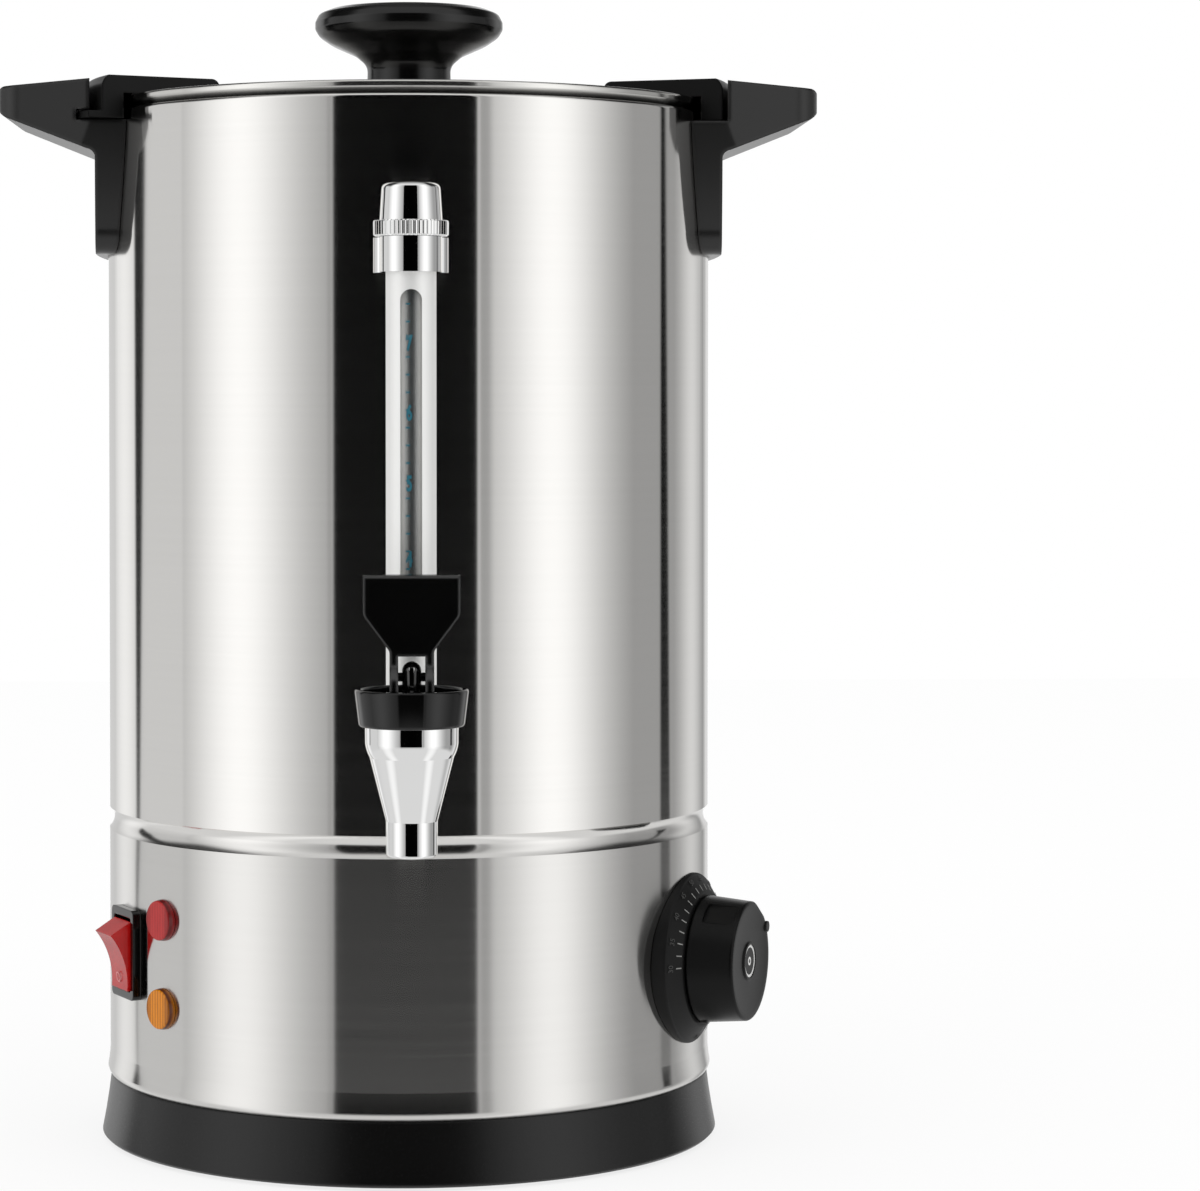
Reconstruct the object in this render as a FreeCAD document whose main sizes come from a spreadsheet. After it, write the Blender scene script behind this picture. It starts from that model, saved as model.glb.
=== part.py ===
import FreeCAD, Part
import Sketcher
import math
import os

Vector = FreeCAD.Vector
Placement = FreeCAD.Placement
Rotation = FreeCAD.Rotation

# Sizes of the urn in millimetres and degrees. Heights are above the table unless they say
# otherwise, radii are from the axis of the piece, and the tap is at the front, towards -Y.
SIZES = {
    # Body shell: one tube of sheet steel with a hem below, an inward bead and a rolled rim
    "shell_radius": 113.0,
    "wall": 0.8,
    "shell_foot": 24.1,
    "hem_tuck": 0.6,
    "hem_swell": 0.8,
    "hem_rise": 2.9,
    "hem_length": 9.9,
    "bead_height": 120.0,
    "bead_depth": 1.7,
    "bead_half": 4.0,
    "rim_height": 382.8,
    "rim_roll": 1.5,
    # Clearances
    "fit": 0.1,
    "gap": 0.3,
    # Plinth, bottom cover and foot
    "foot_height": 3.5,
    "foot_inset": 10.0,
    "foot_width": 6.0,
    "skirt_lift": 1.2,
    "skirt_flare": 2.9,
    "skirt_waist": 1.1,
    "skirt_waist_height": 12.1,
    "skirt_tuck": 0.5,
    "flange_width": 21.0,
    "flange_thickness": 2.5,
    "spigot_rise": 7.9,
    "spigot_wall": 2.4,
    "post_inset": 13.0,
    "post_radius": 5.0,
    "cover_inset": 13.0,
    "cover_thickness": 1.5,
    "cover_screw_inset": 17.0,
    "vent_length": 16.0,
    "vent_width": 3.0,
    "vent_radius": 52.0,
    "bracket_width": 14.0,
    "bracket_sheet": 1.5,
    "bracket_rise": 12.0,
    # Tank floor, heating plate and what hangs under it
    "floor_lift": 4.2,
    "floor_lip": 7.0,
    "floor_corner": 2.0,
    "plate_radius": 80.0,
    "plate_thickness": 5.0,
    "element_ring": 60.0,
    "element_radius": 3.5,
    "element_sweep": 324.0,
    "element_drop": 17.0,
    "terminal_radius": 1.5,
    "terminal_drop": 9.0,
    "cutout_radius": 8.0,
    "cutout_depth": 9.0,
    "strap_reach": 22.0,
    "strap_width": 12.0,
    "strap_sheet": 1.0,
    "shield_radius": 75.0,
    "shield_drop": 24.0,
    "shield_lip": 4.0,
    "stud_ring": 35.0,
    "spacer_radius": 3.5,
    # Thermostat with its dial, at an angle to the right of the tap
    "dial_angle": 66.0,
    "dial_height": 70.8,
    "bezel_radius": 31.2,
    "bezel_proud": 1.4,
    "bezel_face_proud": 5.6,
    "bezel_face_radius": 24.5,
    "knob_radius": 23.2,
    "knob_face_radius": 21.8,
    "knob_proud": 23.2,
    "knob_edge": 1.0,
    "knob_dish": 0.6,
    "badge_radius": 6.0,
    "spindle_radius": 3.0,
    "thermostat_depth": 23.5,
    "thermostat_width": 34.0,
    "thermostat_height": 40.0,
    "thermostat_inset": 3.5,
    "thermostat_screw_offset": 14.0,
    # Switch and lamps, at angles to the left of the tap
    "switch_angle": 65.5,
    "switch_height": 74.1,
    "switch_width": 22.0,
    "switch_length": 32.8,
    "switch_proud": 2.6,
    "switch_corner": 2.0,
    "switch_slot_width": 17.0,
    "switch_slot_length": 27.0,
    "switch_back_width": 19.4,
    "switch_back_length": 29.6,
    "switch_depth": 25.0,
    "rocker_width": 16.4,
    "rocker_half": 10.8,
    "rocker_swell": 2.2,
    "rocker_rise": 9.4,
    "rocker_dish": 2.1,
    "rocker_drop": 4.0,
    "rocker_pivot_depth": 4.7,
    "rocker_tilt": 17.0,
    "trunnion_radius": 1.5,
    "trunnion_length": 0.9,
    "lamp_angle": 52.0,
    "heat_lamp_height": 89.0,
    "warm_lamp_height": 57.0,
    "lamp_radius": 7.45,
    "lamp_face_radius": 6.75,
    "lamp_proud": 2.6,
    "lamp_barrel_radius": 4.9,
    "lamp_depth": 14.0,
    # Power inlet, at the back
    "inlet_height": 60.0,
    "inlet_width": 22.5,
    "inlet_length": 50.0,
    "inlet_proud": 2.5,
    "inlet_socket_width": 16.6,
    "inlet_socket_length": 24.2,
    "inlet_wall": 1.8,
    "inlet_depth": 22.0,
    "inlet_screw_offset": 20.0,
    # Tap: body, bonnet, stem and lever, on a vertical axis in front of the shell
    "tap_spacing": 28.0,
    "spout_height": 123.4,
    "spout_radius": 8.65,
    "spout_bore": 6.0,
    "tap_top": 167.0,
    "seat_height": 150.0,
    "seat_bore": 4.5,
    "chamber_radius": 10.5,
    "neck_radius": 15.25,
    "neck_height": 6.0,
    "shank_height": 158.0,
    "shank_radius": 8.6,
    "thread_radius": 8.0,
    "shank_bore": 5.0,
    "shank_inside": 14.0,
    "washer_radius": 13.0,
    "washer_thickness": 2.5,
    "nut_radius": 13.8,
    "nut_thickness": 6.0,
    "bonnet_radius": 17.7,
    "bonnet_rim_radius": 19.1,
    "bonnet_rise": 12.4,
    "bonnet_floor": 1.8,
    "bonnet_cup_radius": 16.8,
    "stem_radius": 2.5,
    "stem_eye_radius": 3.2,
    "stem_eye_rise": 5.3,
    "pin_height": 183.6,
    "pin_radius": 1.5,
    "cup_radius": 6.8,
    "cup_height": 6.2,
    "spring_radius": 4.2,
    "spring_wire": 1.0,
    "spring_turns": 5.0,
    "cam_height": 8.5,
    "cam_rate": 5.5,
    "lever_stroke": 40.0,
    "lever_top": 34.2,
    "lever_width": 32.4,
    "lever_shoulder": 20.7,
    "lever_neck": 9.0,
    "lever_neck_width": 14.8,
    "lever_window": 9.0,
    "lever_window_top": 7.3,
    # Level gauge, on a vertical axis between the tap and the shell
    "gauge_reach": 24.0,
    "socket_top": 176.0,
    "guard_radius": 8.65,
    "guard_wall": 1.0,
    "guard_slot_width": 7.4,
    "guard_slot_foot": 192.0,
    "guard_slot_top": 313.5,
    "glass_radius": 5.5,
    "glass_wall": 1.2,
    "glass_foot": 166.5,
    "seal_radius": 7.35,
    "seal_height": 4.5,
    "holder_foot": 319.5,
    "holder_rise": 12.0,
    "holder_radius": 10.7,
    "holder_width": 25.7,
    "ring_radius": 12.9,
    "ring_height": 5.4,
    "ring_flutes": 52.0,
    "flute_radius": 0.5,
    "cap_radius": 10.8,
    "cap_face_radius": 10.0,
    "cap_height": 12.9,
    "cap_edge": 2.2,
    "vent_hole": 1.5,
    # Lid with its knob and the two locking ears
    "lid_turn": 2.0,
    "lid_rise": 10.2,
    "lid_shoulder": 104.0,
    "lid_edge_top": 4.5,
    "lid_edge_foot": 1.8,
    "lid_edge_inset": 0.5,
    "lid_skirt": 11.0,
    "lid_skirt_inset": 3.55,
    "knob_stem_radius": 15.9,
    "knob_cap_radius": 35.4,
    "knob_flat_radius": 27.0,
    "knob_rise": 30.5,
    "ear_half_angle": 23.0,
    "ear_inner": 36.0,
    "ear_reach": 9.9,
    "ear_clear": 1.6,
    "ear_drop": 4.3,
    "ear_rise": 11.2,
    "lug_reach": 15.4,
    "lug_height": 2.4,
    "lug_start": 11.0,
    # Handles
    "grip_reach": 39.0,
    "grip_face_rise": 11.4,
    "grip_root_half": 46.4,
    "grip_tip_half": 38.0,
    "leg_drop": 53.0,
    "leg_crown": 3.2,
    "leg_wing": 1.6,
    "leg_low_half": 40.8,
    "leg_corner": 9.0,
    "channel_drop": 4.6,
    "channel_reach": 12.3,
    "slot_reach": 16.4,
    "slot_height": 3.9,
    "slot_start": 8.6,
    "slot_end": 31.0,
    "handle_screw_high": 10.3,
    "handle_screw_low": 43.0,
    "handle_screw_high_angle": 12.0,
    "handle_screw_low_angle": 17.0,
    "insert_radius": 2.5,
    "insert_length": 4.2,
    # Screws
    "small_screw": 1.5,
    "screw": 2.0,
    "screw_head": 3.6,
    "screw_head_height": 1.3,
}


class Size:
    """A length or angle: its number, and the formula that ties it to the named sizes."""

    def __init__(self, number, formula):
        self.number = float(number)
        self.formula = formula

    def join(self, other, mark, number):
        return Size(number, "(%s %s %s)" % (self.formula, mark, other.formula))

    def __add__(self, other):
        other = as_size(other)
        return self.join(other, "+", self.number + other.number)

    def __sub__(self, other):
        other = as_size(other)
        return self.join(other, "-", self.number - other.number)

    def __mul__(self, other):
        other = as_size(other)
        return self.join(other, "*", self.number * other.number)

    def __truediv__(self, other):
        other = as_size(other)
        return self.join(other, "/", self.number / other.number)

    def __radd__(self, other):
        return as_size(other) + self

    def __rsub__(self, other):
        return as_size(other) - self

    def __rmul__(self, other):
        return as_size(other) * self

    def __neg__(self):
        return as_size(0) - self


def as_size(value):
    if isinstance(value, Size):
        return value
    return Size(value, repr(float(value)))


def sine(angle):
    return Size(math.sin(math.radians(angle.number)), "sin(%s * 1 deg)" % angle.formula)


def cosine(angle):
    return Size(math.cos(math.radians(angle.number)), "cos(%s * 1 deg)" % angle.formula)


class Sheet:
    """Every named size, kept once under its own name and read here as an attribute."""

    def __init__(self, document, table):
        self.cells = document.addObject("Spreadsheet::Sheet", "Sizes")
        for row, (name, number) in enumerate(table.items(), start=1):
            self.cells.set("A%d" % row, name)
            self.cells.set("B%d" % row, str(number))
            self.cells.setAlias("B%d" % row, name)
            setattr(self, name, Size(number, "Sizes." + name))


class Via:
    """A point that the arc between its two neighbours in an outline passes through."""

    def __init__(self, across, up):
        self.point = (across, up)


class Ring:
    """A full circle in an outline."""

    def __init__(self, across, up, radius):
        self.point = (across, up)
        self.radius = radius


doc = FreeCAD.newDocument("hot_water_urn")
s = Sheet(doc, SIZES)
doc.recompute()
nodes = []


def bind(item, name, size):
    item.setExpression(name, as_size(size).formula)


def new_body(label):
    body = doc.addObject("PartDesign::Body", label)
    body.Label = label
    body.AllowCompound = True
    nodes.append(body)
    return body


def flat(point):
    return Vector(as_size(point[0]).number, as_size(point[1]).number, 0)


def hold(sketch, edge, end, point):
    """Ties one end of an edge, or a circle's centre, to the sketch's origin by two sizes."""
    for kind, value in (("DistanceX", point[0]), ("DistanceY", point[1])):
        size = as_size(value)
        constraint = Sketcher.Constraint(kind, -1, 1, edge, end, size.number)
        number = sketch.addConstraint(constraint)
        if "Sizes." in size.formula:
            sketch.setExpression("Constraints[%d]" % number, size.formula)


def add_arc(sketch, start, through, end):
    """An arc by three points. Arcs are kept counterclockwise, so the ends may swap."""
    first, middle, last = flat(start), flat(through.point), flat(end)
    leftward = (middle - first).cross(last - middle).z > 0
    if leftward:
        edge = sketch.addGeometry(Part.Arc(first, middle, last), False)
    else:
        edge = sketch.addGeometry(Part.Arc(last, middle, first), False)
    spot = sketch.addGeometry(Part.Point(middle), True)
    hold(sketch, spot, 1, through.point)
    sketch.addConstraint(Sketcher.Constraint("PointOnObject", spot, 1, edge))
    return (edge, 1, 2) if leftward else (edge, 2, 1)


def add_loop(sketch, points):
    """A closed run of straight lines and arcs, each corner tied to the origin."""
    edges = []
    starts = []
    for index, point in enumerate(points):
        if isinstance(point, Via):
            continue
        following = points[(index + 1) % len(points)]
        if isinstance(following, Via):
            edges.append(add_arc(sketch, point, following, points[(index + 2) % len(points)]))
        else:
            line = Part.LineSegment(flat(point), flat(following))
            edges.append((sketch.addGeometry(line, False), 1, 2))
        starts.append(point)
    for index, (edge, start, end) in enumerate(edges):
        before = edges[index - 1]
        sketch.addConstraint(Sketcher.Constraint("Coincident", before[0], before[2], edge, start))
        hold(sketch, edge, start, starts[index])


def add_ring(sketch, ring):
    radius = as_size(ring.radius)
    circle = Part.Circle(flat(ring.point), Vector(0, 0, 1), radius.number)
    edge = sketch.addGeometry(circle, False)
    hold(sketch, edge, 3, ring.point)
    number = sketch.addConstraint(Sketcher.Constraint("Radius", edge, radius.number))
    if "Sizes." in radius.formula:
        sketch.setExpression("Constraints[%d]" % number, radius.formula)


def draw(body, name, role, loops, offset=0):
    """Outlines on one of the piece's own planes, shifted along that plane's normal."""
    sketch = body.newObject("Sketcher::SketchObject", name + "_sketch")
    plane = [item for item in body.Origin.OriginFeatures if item.Role == role][0]
    sketch.AttachmentSupport = (plane, "")
    sketch.MapMode = "FlatFace"
    bind(sketch, "AttachmentOffset.Base.z", offset)
    for loop in loops:
        if isinstance(loop, Ring):
            add_ring(sketch, loop)
        else:
            add_loop(sketch, loop)
    return sketch


def turn(body, name, points, cut=False, sweep=360):
    """Turns an outline of (radius, height) points about the piece's upright axis."""
    sketch = draw(body, name, "XZ_Plane", [points])
    feature = body.newObject("PartDesign::Groove" if cut else "PartDesign::Revolution", name)
    feature.Profile = sketch
    feature.ReferenceAxis = (sketch, ["V_Axis"])
    feature.Midplane = True
    bind(feature, "Angle", sweep)
    return feature


def extrude(body, name, role, loops, start, end, cut=False):
    """Pads or pockets an outline between two distances along its plane's normal."""
    start, end = as_size(start), as_size(end)
    sketch = draw(body, name, role, loops, start)
    feature = body.newObject("PartDesign::Pocket" if cut else "PartDesign::Pad", name)
    feature.Profile = sketch
    feature.Reversed = cut
    bind(feature, "Length", end - start)
    return feature


def rod(body, name, radius, length, place, cut=False):
    kind = "PartDesign::SubtractiveCylinder" if cut else "PartDesign::AdditiveCylinder"
    feature = body.newObject(kind, name)
    bind(feature, "Radius", radius)
    bind(feature, "Height", length)
    feature.Placement = place
    return feature


def block(body, name, width, depth, height, place, cut=False):
    """A box centred on its placement across X and Y, rising along its Z."""
    kind = "PartDesign::SubtractiveBox" if cut else "PartDesign::AdditiveBox"
    feature = body.newObject(kind, name)
    width, depth = as_size(width), as_size(depth)
    bind(feature, "Length", width)
    bind(feature, "Width", depth)
    bind(feature, "Height", height)
    corner = Vector(-width.number / 2, -depth.number / 2, 0)
    feature.Placement = place.multiply(Placement(corner, Rotation()))
    return feature


def prism(body, name, radius, height, place):
    """A hexagon bar."""
    feature = body.newObject("PartDesign::AdditivePrism", name)
    feature.Polygon = 6
    bind(feature, "Circumradius", radius)
    bind(feature, "Height", height)
    feature.Placement = place
    return feature


def around(body, name, feature, count):
    """Repeats a feature evenly about the piece's upright axis."""
    pattern = body.newObject("PartDesign::PolarPattern", name)
    pattern.Originals = [feature]
    axis = [item for item in body.Origin.OriginFeatures if item.Role == "Z_Axis"][0]
    pattern.Axis = (axis, [""])
    pattern.Angle = 360
    bind(pattern, "Occurrences", count)
    body.Tip = pattern
    return pattern


UPRIGHT = Rotation()
DOWNWARD = Rotation(Vector(1, 0, 0), 180)
OUTWARD = Rotation(Vector(1, 0, 0), 90)
ALONG_X = Rotation(Vector(0, 1, 0), 90)


def shift(x=0, y=0, z=0, turned=UPRIGHT):
    numbers = [as_size(value).number for value in (x, y, z)]
    return Placement(Vector(*numbers), turned)


def facing(angle, height=0):
    """Local Z points out from the urn's axis at an angle from the front, and local Y up."""
    angle = as_size(angle).number
    return Placement(Vector(0, 0, as_size(height).number), Rotation(Vector(0, 0, 1), angle) * OUTWARD)


def polar(radius, angle):
    """A point at a radius and an angle from the X axis, as two sizes."""
    angle = as_size(angle)
    return (radius * cosine(angle), radius * sine(angle))


def sector(inner, outer, start, end):
    """An outline between two radii and two angles."""
    middle = (as_size(start) + end) / 2
    return [
        polar(inner, start),
        Via(*polar(inner, middle)),
        polar(inner, end),
        polar(outer, end),
        Via(*polar(outer, middle)),
        polar(outer, start),
    ]


def rectangle(width, height, centre_up=0):
    half_width = as_size(width) / 2
    low = as_size(centre_up) - as_size(height) / 2
    high = as_size(centre_up) + as_size(height) / 2
    return [(-half_width, low), (half_width, low), (half_width, high), (-half_width, high)]


def rounded_rectangle(width, height, corner):
    x = as_size(width) / 2
    y = as_size(height) / 2
    inside = corner * (1 - math.sqrt(0.5))
    return [
        (x - corner, -y),
        Via(x - inside, -y + inside),
        (x, -y + corner),
        (x, y - corner),
        Via(x - inside, y - inside),
        (x - corner, y),
        (-x + corner, y),
        Via(-x + inside, y - inside),
        (-x, y - corner),
        (-x, -y + corner),
        Via(-x + inside, -y + inside),
        (-x + corner, -y),
    ]


def add_screw(body, name, place, radius, head, head_height, length):
    """A pan head screw: its head rises along the placement's Z and its shank goes back."""
    rod(body, name + "_head", head, head_height, place)
    rod(body, name + "_shank", radius, length, place.multiply(Placement(Vector(0, 0, 0), DOWNWARD)))
    recess = head_height * 0.5
    seat = place.multiply(shift(z=head_height - recess))
    block(body, name + "_cross", head * 1.2, head * 0.3, head_height, seat, cut=True)
    block(body, name + "_cross_other", head * 0.3, head * 1.2, head_height, seat, cut=True)


R = s.shell_radius
INNER = s.shell_radius - s.wall
RIM = s.rim_height


# The plinth is a moulded ring: a flared skirt, a flange over the foot and a spigot in the shell
def base_plinth():
    body = new_body("base_plinth")
    flange_top = s.foot_height + s.flange_thickness
    spigot = R - s.hem_tuck - s.wall - s.gap
    turn(body, "plinth_ring", [
        (R - s.flange_width, s.foot_height),
        (R - s.hem_tuck, s.foot_height),
        (R - s.hem_tuck, s.skirt_lift),
        (R + s.skirt_flare - 1, s.skirt_lift),
        (R + s.skirt_flare, s.skirt_lift + 1),
        Via(R + s.skirt_waist, s.skirt_waist_height),
        (R - s.skirt_tuck, s.shell_foot - 0.5),
        (R - s.skirt_tuck - 0.5, s.shell_foot),
        (spigot, s.shell_foot),
        (spigot, s.shell_foot + s.spigot_rise),
        (spigot - s.spigot_wall, s.shell_foot + s.spigot_rise),
        (spigot - s.spigot_wall, s.shell_foot - 2),
        (R - s.hem_tuck - 0.2, flange_top),
        (R - s.flange_width, flange_top),
    ])
    post_top = s.shell_foot + s.spigot_rise
    post = rod(body, "bracket_post", s.post_radius, post_top - s.foot_height,
               shift(R - s.post_inset, 0, s.foot_height))
    around(body, "bracket_posts", post, 3)
    pilot = rod(body, "bracket_pilot", s.screw + s.fit, 16, shift(R - s.post_inset, 0, post_top - 14), True)
    around(body, "bracket_pilots", pilot, 3)
    boss_place = shift(*polar(R - s.cover_screw_inset, 45), s.foot_height)
    boss = rod(body, "cover_boss", s.post_radius - 0.5, 11, boss_place)
    around(body, "cover_bosses", boss, 4)
    hole = rod(body, "cover_pilot", s.screw + s.fit, 10, boss_place.multiply(shift(z=-1)), True)
    around(body, "cover_pilots", hole, 4)


def foot_ring():
    body = new_body("foot_ring")
    outer = R - s.foot_inset + s.foot_width
    turn(body, "foot", [
        (R - s.foot_inset, 0),
        (outer, 0),
        (outer, s.foot_height),
        (R - s.foot_inset, s.foot_height),
    ])


def bottom_cover():
    body = new_body("bottom_cover")
    foot = s.foot_height - s.cover_thickness
    rod(body, "cover_disc", R - s.cover_inset, s.cover_thickness, shift(z=foot))
    place = shift(*polar(R - s.cover_screw_inset, 45), foot - 1)
    around(body, "cover_holes", rod(body, "cover_hole", s.screw + 2 * s.fit, 4, place, True), 4)
    for number, radius in enumerate((s.vent_radius, s.vent_radius - 24)):
        place = shift(radius, 0, foot - 1)
        vent = block(body, "vent_%d" % number, s.vent_length, s.vent_width, 4, place, True)
        around(body, "vents_%d" % number, vent, 12)


def base_screws():
    body = new_body("base_screws")
    seat = s.foot_height - s.cover_thickness
    for number in range(4):
        place = shift(*polar(R - s.cover_screw_inset, 45 + 90 * number), seat, turned=DOWNWARD)
        add_screw(body, "base_screw_%d" % number, place, s.screw, s.screw_head, s.screw_head_height, 9)


# Three angle brackets are welded to the shell and screwed down on the plinth's posts
def base_brackets():
    body = new_body("base_brackets")
    foot = s.shell_foot + s.spigot_rise
    reach = INNER - 0.5
    low = R - s.post_inset - s.post_radius
    leg = extrude(body, "bracket", "XZ_Plane", [[
        (low, foot),
        (reach, foot),
        (reach, foot + s.bracket_rise),
        (reach - s.bracket_sheet, foot + s.bracket_rise),
        (reach - s.bracket_sheet, foot + s.bracket_sheet),
        (low, foot + s.bracket_sheet),
    ]], -s.bracket_width / 2, s.bracket_width / 2)
    around(body, "brackets", leg, 3)
    hole = rod(body, "bracket_hole", s.screw + 2 * s.fit, 4, shift(R - s.post_inset, 0, foot - 1), True)
    around(body, "bracket_holes", hole, 3)


def bracket_screws():
    body = new_body("bracket_screws")
    seat = s.shell_foot + s.spigot_rise + s.bracket_sheet
    for number in range(3):
        place = shift(*polar(R - s.post_inset, 120 * number), seat)
        add_screw(body, "bracket_screw_%d" % number, place, s.screw, s.screw_head, s.screw_head_height, 12)


# The shell is one turned sheet with openings for the tap, gauge, handles and controls
def drill(body, name, radius, angle, height, across=0):
    place = facing(angle, height).multiply(shift(across, 0, R - 15))
    return rod(body, name, radius, 30, place, True)


def body_shell():
    body = new_body("body_shell")
    foot = s.shell_foot
    roll = s.rim_roll
    slant = roll * math.sqrt(0.5)
    turn(body, "shell_tube", [
        (R - s.hem_tuck, foot),
        Via(R + s.hem_swell * 0.55, foot + s.hem_rise * 0.4),
        (R + s.hem_swell, foot + s.hem_rise),
        Via(R + s.hem_swell * 0.4, foot + s.hem_length * 0.6),
        (R, foot + s.hem_length),
        (R, s.bead_height - s.bead_half),
        Via(R - s.bead_depth, s.bead_height),
        (R, s.bead_height + s.bead_half),
        (R, RIM - roll),
        Via(R - roll, RIM),
        (R - 2 * roll, RIM - roll),
        Via(R - roll - slant, RIM - roll - slant),
        (R - roll, RIM - 2 * roll),
        (INNER, RIM - 2 * roll - 0.5),
        (INNER, s.bead_height + s.bead_half),
        Via(INNER - s.bead_depth, s.bead_height),
        (INNER, s.bead_height - s.bead_half),
        (INNER, foot + s.hem_length),
        Via(INNER + s.hem_swell * 0.4, foot + s.hem_length * 0.6),
        (INNER + s.hem_swell, foot + s.hem_rise),
        (INNER - s.hem_tuck, foot),
    ])
    drill(body, "tap_hole", s.thread_radius + s.fit, 0, s.shank_height)
    drill(body, "holder_hole", s.screw + 2 * s.fit, 0, s.holder_foot + s.holder_rise / 2)
    drill(body, "spindle_hole", s.spindle_radius + 2, s.dial_angle, s.dial_height)
    for side in (-1, 1):
        drill(body, "thermostat_hole_%d" % (side + 1), s.screw + 2 * s.fit, s.dial_angle,
              s.dial_height + side * s.thermostat_screw_offset)
        drill(body, "inlet_hole_%d" % (side + 1), s.small_screw + 2 * s.fit, 180,
              s.inlet_height + side * s.inlet_screw_offset)
    switch_place = facing(-s.switch_angle, s.switch_height).multiply(shift(z=R - 15))
    block(body, "switch_opening", s.switch_back_width + s.gap, s.switch_back_length + s.gap, 30,
          switch_place, True)
    inlet_place = facing(180, s.inlet_height).multiply(shift(z=R - 15))
    block(body, "inlet_opening", s.inlet_socket_width + 2 * s.inlet_wall + s.gap,
          s.inlet_socket_length + 2 * s.inlet_wall + s.gap, 30, inlet_place, True)
    drill(body, "heat_lamp_hole", s.lamp_barrel_radius + s.fit, -s.lamp_angle, s.heat_lamp_height)
    drill(body, "warm_lamp_hole", s.lamp_barrel_radius + s.fit, -s.lamp_angle, s.warm_lamp_height)
    for number, (angle, height) in enumerate(handle_screw_spots()):
        drill(body, "handle_hole_%d" % number, s.screw + 2 * s.fit, angle, height)


def handle_screw_spots():
    """Angle from the front and height of the four screws behind each handle."""
    found = []
    for side in (90, -90):
        for sign in (-1, 1):
            found.append((side + sign * s.handle_screw_high_angle, RIM - s.handle_screw_high))
            found.append((side + sign * s.handle_screw_low_angle, RIM - s.handle_screw_low))
    return found


FLOOR = s.bead_height + s.floor_lift
PLATE_FOOT = FLOOR - s.plate_thickness


def tank_floor():
    body = new_body("tank_floor")
    outer = INNER - 0.2
    top = FLOOR + s.wall
    bend = s.floor_corner
    inside = bend * (1 - math.sqrt(0.5))
    turn(body, "floor_dish", [
        (0, FLOOR),
        (outer - bend, FLOOR),
        Via(outer - inside, FLOOR + inside),
        (outer, FLOOR + bend),
        (outer, FLOOR + s.floor_lip),
        (outer - s.wall, FLOOR + s.floor_lip),
        (outer - s.wall, FLOOR + bend),
        Via(outer - s.wall * 0.7 - inside, top + inside * 0.6),
        (outer - bend, top),
        (0, top),
    ])


def heating_plate():
    body = new_body("heating_plate")
    rod(body, "plate", s.plate_radius, s.plate_thickness, shift(z=PLATE_FOOT))


# The tubular element is a brazed ring whose two ends turn down into the terminals
def heating_element():
    body = new_body("heating_element")
    middle = PLATE_FOOT - s.element_radius
    sketch = draw(body, "element", "XZ_Plane", [Ring(s.element_ring, middle, s.element_radius)])
    ring = body.newObject("PartDesign::Revolution", "element_ring")
    ring.Profile = sketch
    ring.ReferenceAxis = (sketch, ["V_Axis"])
    ring.Midplane = True
    bind(ring, "Angle", s.element_sweep)
    for sign in (-1, 1):
        x, y = polar(s.element_ring, sign * s.element_sweep / 2)
        end = PLATE_FOOT - s.element_drop
        rod(body, "element_leg_%d" % (sign + 1), s.element_radius, s.element_drop - 0.5, shift(x, y, end))
        rod(body, "element_pin_%d" % (sign + 1), s.terminal_radius, s.terminal_drop + 1,
            shift(x, y, end - s.terminal_drop))


def cutout_thermostat():
    body = new_body("cutout_thermostat")
    foot = PLATE_FOOT - s.cutout_depth
    rod(body, "cutout_can", s.cutout_radius, s.cutout_depth, shift(z=foot))
    for sign in (-1, 1):
        block(body, "cutout_tab_%d" % (sign + 1), 0.8, 5, 7, shift(sign * 3, 0, foot - 6.5))


def cutout_clip():
    body = new_body("cutout_clip")
    foot = PLATE_FOOT - s.cutout_depth
    inner = s.cutout_radius + 2
    sheet = s.strap_sheet
    reach = s.strap_reach
    extrude(body, "strap", "XZ_Plane", [[
        (-reach, PLATE_FOOT),
        (-reach, PLATE_FOOT - sheet),
        (-inner - sheet, PLATE_FOOT - sheet),
        (-inner - sheet, foot - sheet),
        (inner + sheet, foot - sheet),
        (inner + sheet, PLATE_FOOT - sheet),
        (reach, PLATE_FOOT - sheet),
        (reach, PLATE_FOOT),
        (inner, PLATE_FOOT),
        (inner, foot),
        (-inner, foot),
        (-inner, PLATE_FOOT),
    ]], -s.strap_width / 2, s.strap_width / 2)
    rod(body, "strap_window", s.cutout_radius / 2 + 0.5, 4, shift(z=foot - 3), True)
    for sign in (-1, 1):
        place = shift(sign * (reach - 5.5), 0, PLATE_FOOT - 2)
        rod(body, "strap_hole_%d" % (sign + 1), s.small_screw + s.fit, 4, place, True)


def cutout_screws():
    body = new_body("cutout_screws")
    for sign in (-1, 1):
        place = shift(sign * (s.strap_reach - 5.5), 0, PLATE_FOOT - s.strap_sheet, turned=DOWNWARD)
        add_screw(body, "cutout_screw_%d" % (sign + 1), place, s.small_screw, 2.8, 1.2, s.strap_sheet)


SHIELD_FOOT = PLATE_FOOT - s.shield_drop


def heat_shield():
    body = new_body("heat_shield")
    top = SHIELD_FOOT + s.wall
    turn(body, "shield_pan", [
        (0, SHIELD_FOOT),
        (s.shield_radius, SHIELD_FOOT),
        (s.shield_radius, SHIELD_FOOT + s.shield_lip),
        (s.shield_radius - s.wall, SHIELD_FOOT + s.shield_lip),
        (s.shield_radius - s.wall, top),
        (0, top),
    ])
    stud = rod(body, "shield_hole", s.screw + s.fit, 4, shift(*polar(s.stud_ring, 60), SHIELD_FOOT - 1), True)
    around(body, "shield_holes", stud, 3)
    for sign in (-1, 1):
        x, y = polar(s.element_ring, sign * s.element_sweep / 2)
        rod(body, "leg_hole_%d" % (sign + 1), s.element_radius + 1.5, 4, shift(x, y, SHIELD_FOOT - 1), True)


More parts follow.
